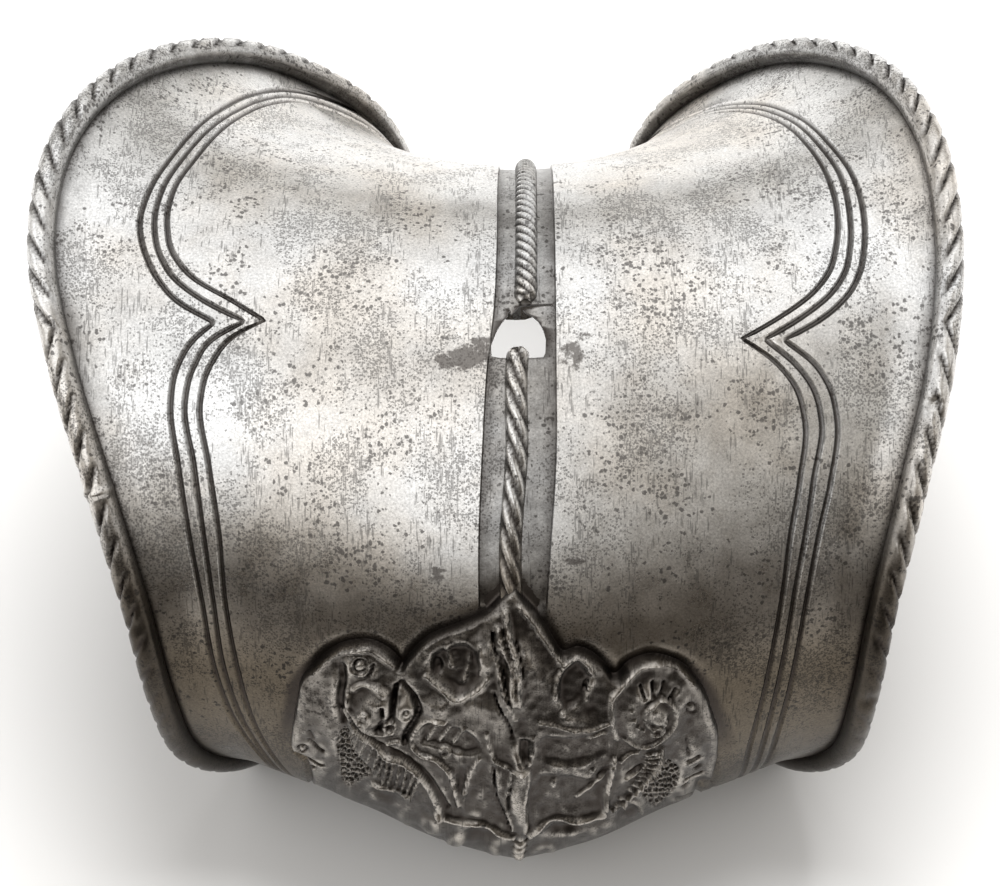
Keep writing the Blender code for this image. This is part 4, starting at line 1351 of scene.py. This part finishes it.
def drawn_height(x, y):
    """Height of all that is drawn inside the outline, in shares of stroke_rise."""
    height = np.zeros(x.shape)
    for rise, edge, corners in PANELS:
        course = smooth_course(corners, 3, closed=True)
        here = near_course(x, y, course, edge)
        height[here] += rise * smooth_step(depth_inside(x[here], y[here], course) / edge)
    for corners in PUNCHED_GROUNDS:
        course = smooth_course(corners, 3, closed=True)
        here = near_course(x, y, course, 0.03)
        height[here] -= 0.6 * smooth_step(depth_inside(x[here], y[here], course) / 0.03)
    for right, up, half_across, half_up, turn, rise in DOMES:
        cos_turn, sin_turn = math.cos(math.radians(turn)), math.sin(math.radians(turn))
        along = ((x - right) * cos_turn + (y - up) * sin_turn) / half_across
        beside = ((y - up) * cos_turn - (x - right) * sin_turn) / half_up
        height += rise * smooth_step(1.5 * (1.0 - np.hypot(along, beside)))
    for right, up, radius, half, rise in RINGS:
        height += rise * smooth_step(1.0 - np.abs(np.hypot(x - right, y - up) - radius) / half)
    strokes = [(rise, half, smooth_course(places, 4)) for rise, half, places in STROKES]
    for rise, half, count, starts, ends in FEATHERS:
        first, last = smooth_course(starts, 8), smooth_course(ends, 8)
        for barb in range(count):
            start = first[round(barb / (count - 1) * (len(first) - 1))]
            end = last[round(barb / (count - 1) * (len(last) - 1))]
            strokes.append((rise, half, np.array([start, end])))
    for rise, half, course in strokes:
        here = near_course(x, y, course, half)
        height[here] += rise * smooth_step(1.0 - distance_to_course(x[here], y[here], course) / half)
    return height


def blurred(values, reach):
    """A table smoothed by sliding means."""
    for axis in (0, 1):
        total = np.zeros_like(values)
        for step in range(-reach, reach + 1):
            total += np.roll(values, step, axis=axis)
        values = total / (2 * reach + 1)
    return values


def ground_share(x, y):
    """Share of the ground's rise: full at the top and along the keel, and nearly none low down."""
    at_top = smooth_step((y - 0.30) / 0.45)
    at_keel = 1.0 - smooth_step((np.abs(x) - 0.35) / 0.45)
    low_side = smooth_step((np.abs(x) - 0.8) / 0.2) * (1.0 - smooth_step((y - 0.30) / 0.25))
    return 0.15 + 0.85 * np.maximum(at_top, at_keel) - 0.25 * low_side


def waviness(waves, x, y):
    """Mean of crossing waves over the drawing, from -1 to 1."""
    return sum(np.sin(along_x * x + along_y * y + start) for along_x, along_y, start in waves) / len(waves)


def ornament_surface(angle, off):
    """Places and normals of the bare plate, the ornament's height over it, the drawn part of that height, the
    distance inside the outline, and 1 on the punched grounds."""
    ornament, plate = bpy.context.scene.couter_ornament, bpy.context.scene.couter_plate
    width = np.where(off < 0, half_width(angle, -1), half_width(angle, 1))
    point, _, _, normal = plate_frame(angle, off / width)
    raised = point + ornament.ground_rise * normal
    x, y = sheet_place(raised)
    inside = depth_inside(x, y, smooth_course(OUTLINE, 3, closed=True)) * SHEET
    facing = (normal * unit(EYE - raised)).sum(axis=-1)
    uneven = waviness(HAND_WAVES, x, y)
    swayed_x, swayed_y = x + 0.006 * np.sin(23.0 * y + 1.0), y + 0.006 * np.sin(19.0 * x + 2.0)
    drawn = drawn_height(swayed_x, swayed_y) * (1.0 + 0.45 * uneven) + 0.55 * uneven
    drawn = drawn + 0.14 * waviness(FINE_WAVES, swayed_x, swayed_y)
    drawn = drawn * smooth_step(facing / 0.12)
    swell = smooth_step((inside + 0.0002) / 0.0011)
    ground = ornament.ground_rise * ground_share(x, y)
    height = (ground + ornament.stroke_rise * drawn) * swell - 0.7 * plate.wall * (1.0 - swell)
    punched = np.zeros(x.shape)
    for corners in PUNCHED_GROUNDS:
        course = smooth_course(corners, 3, closed=True)
        here = near_course(x, y, course, 0.0)
        share = smooth_step(depth_inside(x[here], y[here], course) / 0.02)
        punched[here] = np.maximum(punched[here], share)
    return point, normal, height, drawn, inside, punched


def split_faces(mesh, wanted, cuts):
    """Divides the faces between the wanted points of a mesh, and gives each point's nearest old point."""
    shape = bmesh.new()
    shape.from_mesh(mesh)
    old = KDTree(len(shape.verts))
    for number, vertex in enumerate(shape.verts):
        old.insert(vertex.co, number)
    old.balance()
    quads = [face for face in shape.faces if len(face.verts) == 4]
    faces = [face for face in quads if all(wanted[vertex.index] for vertex in face.verts)]
    edges = {edge for face in faces for edge in face.edges}
    bmesh.ops.subdivide_edges(shape, edges=list(edges), cuts=cuts, use_grid_fill=True)
    shape.verts.index_update()
    nearest = np.array([old.find(vertex.co)[1] for vertex in shape.verts])
    shape.to_mesh(mesh)
    shape.free()
    return nearest


def ornament_piece():
    """The embossed point: a closed shell that stands out of the plate and ends in the plate's wall."""
    plate = bpy.context.scene.couter_plate
    low, high, reach = ORNAMENT_LOW, ORNAMENT_HIGH, ORNAMENT_REACH
    rows = round(math.radians(high - low) * ORNAMENT_RADIUS / ORNAMENT_CELL)
    columns = round(2 * reach / ORNAMENT_CELL)
    down = np.linspace(low, high, rows)
    angle, off = np.meshgrid(down, np.linspace(-reach, reach, columns), indexing="ij")
    point, normal, height, drawn, inside, punched = ornament_surface(angle, off)
    outer = point + height[..., None] * normal
    back_across = np.linspace(reach, -reach, ORNAMENT_BACK_COLUMNS)
    back_angle, back_off = np.meshgrid(down, back_across, indexing="ij")
    width = np.where(back_off < 0, half_width(back_angle, -1), half_width(back_angle, 1))
    back_point, _, _, back_normal = plate_frame(back_angle, back_off / width)
    back = back_point - 0.8 * plate.wall * back_normal
    mesh = lattice_mesh("ornament", np.concatenate([outer, back], axis=1))
    hidden = np.zeros_like(back_off)
    # Painted shade in the hollows of the relief and at the foot of the outline's wall.
    above_near, above_far = drawn - blurred(drawn, 4), drawn - blurred(drawn, 12)
    recess = np.clip(0.30 - 1.5 * above_near - 0.5 * above_far, 0.0, 1.0)
    recess = np.maximum(recess * (1.0 - punched), 1.0 - smooth_step((inside - 0.0001) / 0.0009))
    # The crests, a band just inside the outline and the punched threads are kept clean: partly wear, partly a
    # painted highlight. The upper left is kept lighter too.
    worn_and_highlit_crest = np.clip(3.0 * above_near, 0.0, 1.0)
    rim = smooth_step((inside - 0.0006) / 0.0006) * (1.0 - smooth_step((inside - 0.0016) / 0.0012))
    worn_and_highlit_crest = np.maximum(np.maximum(worn_and_highlit_crest, 0.55 * rim), 0.6 * punched)
    right, up = sheet_place(outer)
    worn = 0.5 + 1.3 * waviness(WEAR_WAVES, right, up)
    high_left = smooth_step((up - 0.35) / 0.5) * (1.0 - 0.6 * smooth_step((right - 0.05) / 0.3))
    bare_base = (0.03 + 0.27 * high_left) * (0.4 + 0.9 * worn)
    bare = np.maximum(0.92 * worn_and_highlit_crest * (0.72 + 0.28 * worn), bare_base)
    masks = {"recess": recess, "grime": 1.0 - bare.clip(0.0, 1.0), "punched": punched}
    masks["skin"] = np.full_like(recess, 0.45)
    whole = {name: np.concatenate([values, hidden], axis=1).ravel() for name, values in masks.items()}
    nearest = split_faces(mesh, whole["punched"] > 0.0, 2)
    for name, values in whole.items():
        store(mesh, name, values[nearest])
    drawn_right, drawn_up = sheet_place(point_places(mesh))
    flat = np.stack([drawn_right * SHEET, drawn_up * SHEET, np.zeros_like(drawn_up)], axis=-1)
    store_places(mesh, "unrolled", flat)
    cut_level(mesh)
    item = add_object("ornament", mesh)
    add_tree(item, "punching", punching_tree(), steel=steel())
    keep_result(item)
    finish_piece(item, 75.0)


class CouterMakeOrnament(bpy.types.Operator):
    """Make the embossed point"""

    bl_idname = "couter.make_ornament"
    bl_label = "Embossed point"

    def execute(self, context):
        ornament_piece()
        return {"FINISHED"}


class CouterMakePlate(bpy.types.Operator):
    """Make the plate with its incised lines, sunk strips and ragged hole"""

    bl_idname = "couter.make_plate"
    bl_label = "Plate"

    def execute(self, context):
        plate_piece()
        return {"FINISHED"}


class CouterMakeEdges(bpy.types.Operator):
    """Make the two roped edges"""

    bl_idname = "couter.make_edges"
    bl_label = "Roped edges"

    def execute(self, context):
        edge_rope(-1, "rope_left")
        edge_rope(1, "rope_right")
        return {"FINISHED"}


class CouterMakeRidge(bpy.types.Operator):
    """Make the roped ridge above and below the hole"""

    bl_idname = "couter.make_ridge"
    bl_label = "Roped ridge"

    def execute(self, context):
        ridge_rope("rope_ridge_high", 89.2, 219.0, 0.0020, 0.0018, "low")
        ridge_rope("rope_ridge_low", 40.0, 82.0, 0.0050, 0.0042, "high")
        return {"FINISHED"}


class CouterMakeStage(bpy.types.Operator):
    """Make the floor, the lights and the camera"""

    bl_idname = "couter.make_stage"
    bl_label = "Stage"

    def execute(self, context):
        make_stage()
        return {"FINISHED"}


def make_stage():
    """A pale floor, a bright sky at the back and above, one large light and the camera."""
    stage = bpy.context.scene.couter_stage
    floor_mesh = bpy.data.meshes.new("floor")
    corners = ((-1, -1), (1, -1), (1, 1), (-1, 1))
    places = [(right * stage.floor_reach, back * stage.floor_reach, 0.0) for right, back in corners]
    floor_mesh.from_pydata(places, [], [(0, 1, 2, 3)])
    floor = add_object("floor", floor_mesh)
    paint = bpy.data.materials.new("floor")
    paint.use_nodes = True
    shader = paint.node_tree.nodes["Principled BSDF"]
    shader.inputs["Base Color"].default_value = (*stage.floor_colour, 1.0)
    shader.inputs["Roughness"].default_value = 0.9
    shader.inputs["Emission Color"].default_value = (1.0, 1.0, 1.0, 1.0)
    shader.inputs["Emission Strength"].default_value = 0.02
    floor_mesh.materials.append(paint)
    world = bpy.data.worlds.new("studio")
    bpy.context.scene.world = world
    world.use_nodes = True
    tree = world.node_tree
    background = tree.nodes["Background"]
    place = place_node(tree, "ShaderNodeTexCoord").outputs["Generated"]

    def toward(direction, low, high):
        """Brightness of a soft glow in the direction."""
        inputs = {0: place, 1: tuple(Vector(direction).normalized())}
        facing = place_node(tree, "ShaderNodeVectorMath", inputs, operation="DOT_PRODUCT")
        return fade(tree, facing.outputs["Value"], low, high)

    above = calculate(tree, "MULTIPLY", toward((0.0, 0.34, 0.94), 0.10, 0.75), 0.78)
    shade = calculate(tree, "MULTIPLY_ADD", toward((0.8, -0.35, 0.48), 0.48, 0.78), -0.65, 1.0)
    right, left = toward((1.0, 0.0, 0.25), 0.6, 0.9), toward((-1.0, 0.0, 0.25), 0.6, 0.9)
    sides = calculate(tree, "ADD", right, left)
    window = calculate(tree, "MULTIPLY", toward((-0.21, -0.40, 0.89), 0.89, 0.99), 0.38)
    lamp = calculate(tree, "MULTIPLY", toward((0.07, 0.57, 0.82), 0.92, 0.995), 0.25)
    lit = calculate(tree, "MULTIPLY", above, shade)
    with_sides = calculate(tree, "ADD", lit, calculate(tree, "MULTIPLY", sides, stage.side_glow))
    level = calculate(tree, "ADD", with_sides, calculate(tree, "ADD", window, lamp))
    ramp = place_node(tree, "ShaderNodeValToRGB", {0: calculate(tree, "MULTIPLY", level, 0.5)})
    ramp.color_ramp.elements[0].color = (0.055, 0.045, 0.035, 1.0)
    ramp.color_ramp.elements[1].color = (2.0, 2.0, 2.0, 1.0)
    ramp.color_ramp.elements.new(0.16).color = (0.34, 0.315, 0.28, 1.0)
    ramp.color_ramp.elements.new(0.5).color = (1.0, 1.0, 1.0, 1.0)
    feed(tree, ramp.outputs[0], background.inputs["Color"])
    background.inputs["Strength"].default_value = stage.sky_strength
    lights = (
        ("key", (0.05, 0.48, 1.00), (0.0, 0.0, 0.03), 0.5, 0.4, stage.key_power),
        ("fill", (0.0, 0.035, 0.060), (0.0, 0.036, 0.0), 0.04, 0.03, stage.fill_power),
    )
    for name, location, target, width, height, power in lights:
        light = bpy.data.lights.new(name, "AREA")
        light.shape = "RECTANGLE"
        light.size, light.size_y = width, height
        light.energy = power
        item = add_object(name, light)
        item.location = location
        item.visible_glossy = False
        item.visible_camera = False
        item.rotation_euler = (Vector(target) - item.location).to_track_quat("-Z", "Y").to_euler()
    lens = bpy.data.cameras.new("camera")
    lens.sensor_width = 36.0
    lens.lens = stage.camera_lens
    lens.clip_start = 0.01
    camera = add_object("camera", lens)
    camera.location = Vector(EYE)
    camera.rotation_euler = (math.radians(90.0 - EYE_TILT), 0.0, 0.0)
    bpy.context.scene.camera = camera
    bpy.context.scene.view_settings.view_transform = "Standard"


class CouterPanel(bpy.types.Panel):
    bl_idname = "COUTER_PT_panel"
    bl_label = "Steel couter"
    bl_space_type = "VIEW_3D"
    bl_region_type = "UI"
    bl_category = "Couter"

    def draw(self, context):
        for step in STEPS:
            self.layout.operator(step)
        for group in GROUPS:
            box = self.layout.box()
            settings = getattr(context.scene, group)
            for name in settings.__annotations__:
                box.prop(settings, name)


GROUPS = {
    "couter_plate": CouterPlate,
    "couter_ropes": CouterRopes,
    "couter_ornament": CouterOrnament,
    "couter_finish": CouterFinish,
    "couter_stage": CouterStage,
}
STEPS = (
    "couter.make_plate",
    "couter.make_edges",
    "couter.make_ridge",
    "couter.make_ornament",
    "couter.make_stage",
)
CLASSES = (
    CouterPlate,
    CouterRopes,
    CouterOrnament,
    CouterFinish,
    CouterStage,
    CouterMakePlate,
    CouterMakeEdges,
    CouterMakeRidge,
    CouterMakeOrnament,
    CouterMakeStage,
    CouterPanel,
)


def register():
    for kind in CLASSES:
        bpy.utils.register_class(kind)
    for name, kind in GROUPS.items():
        setattr(bpy.types.Scene, name, bpy.props.PointerProperty(type=kind))


def unregister():
    for name in GROUPS:
        delattr(bpy.types.Scene, name)
    for kind in reversed(CLASSES):
        bpy.utils.unregister_class(kind)


def main():
    register()
    bpy.ops.couter.make_plate()
    bpy.ops.couter.make_edges()
    bpy.ops.couter.make_ridge()
    bpy.ops.couter.make_ornament()
    bpy.ops.couter.make_stage()


if __name__ == "__main__":
    main()
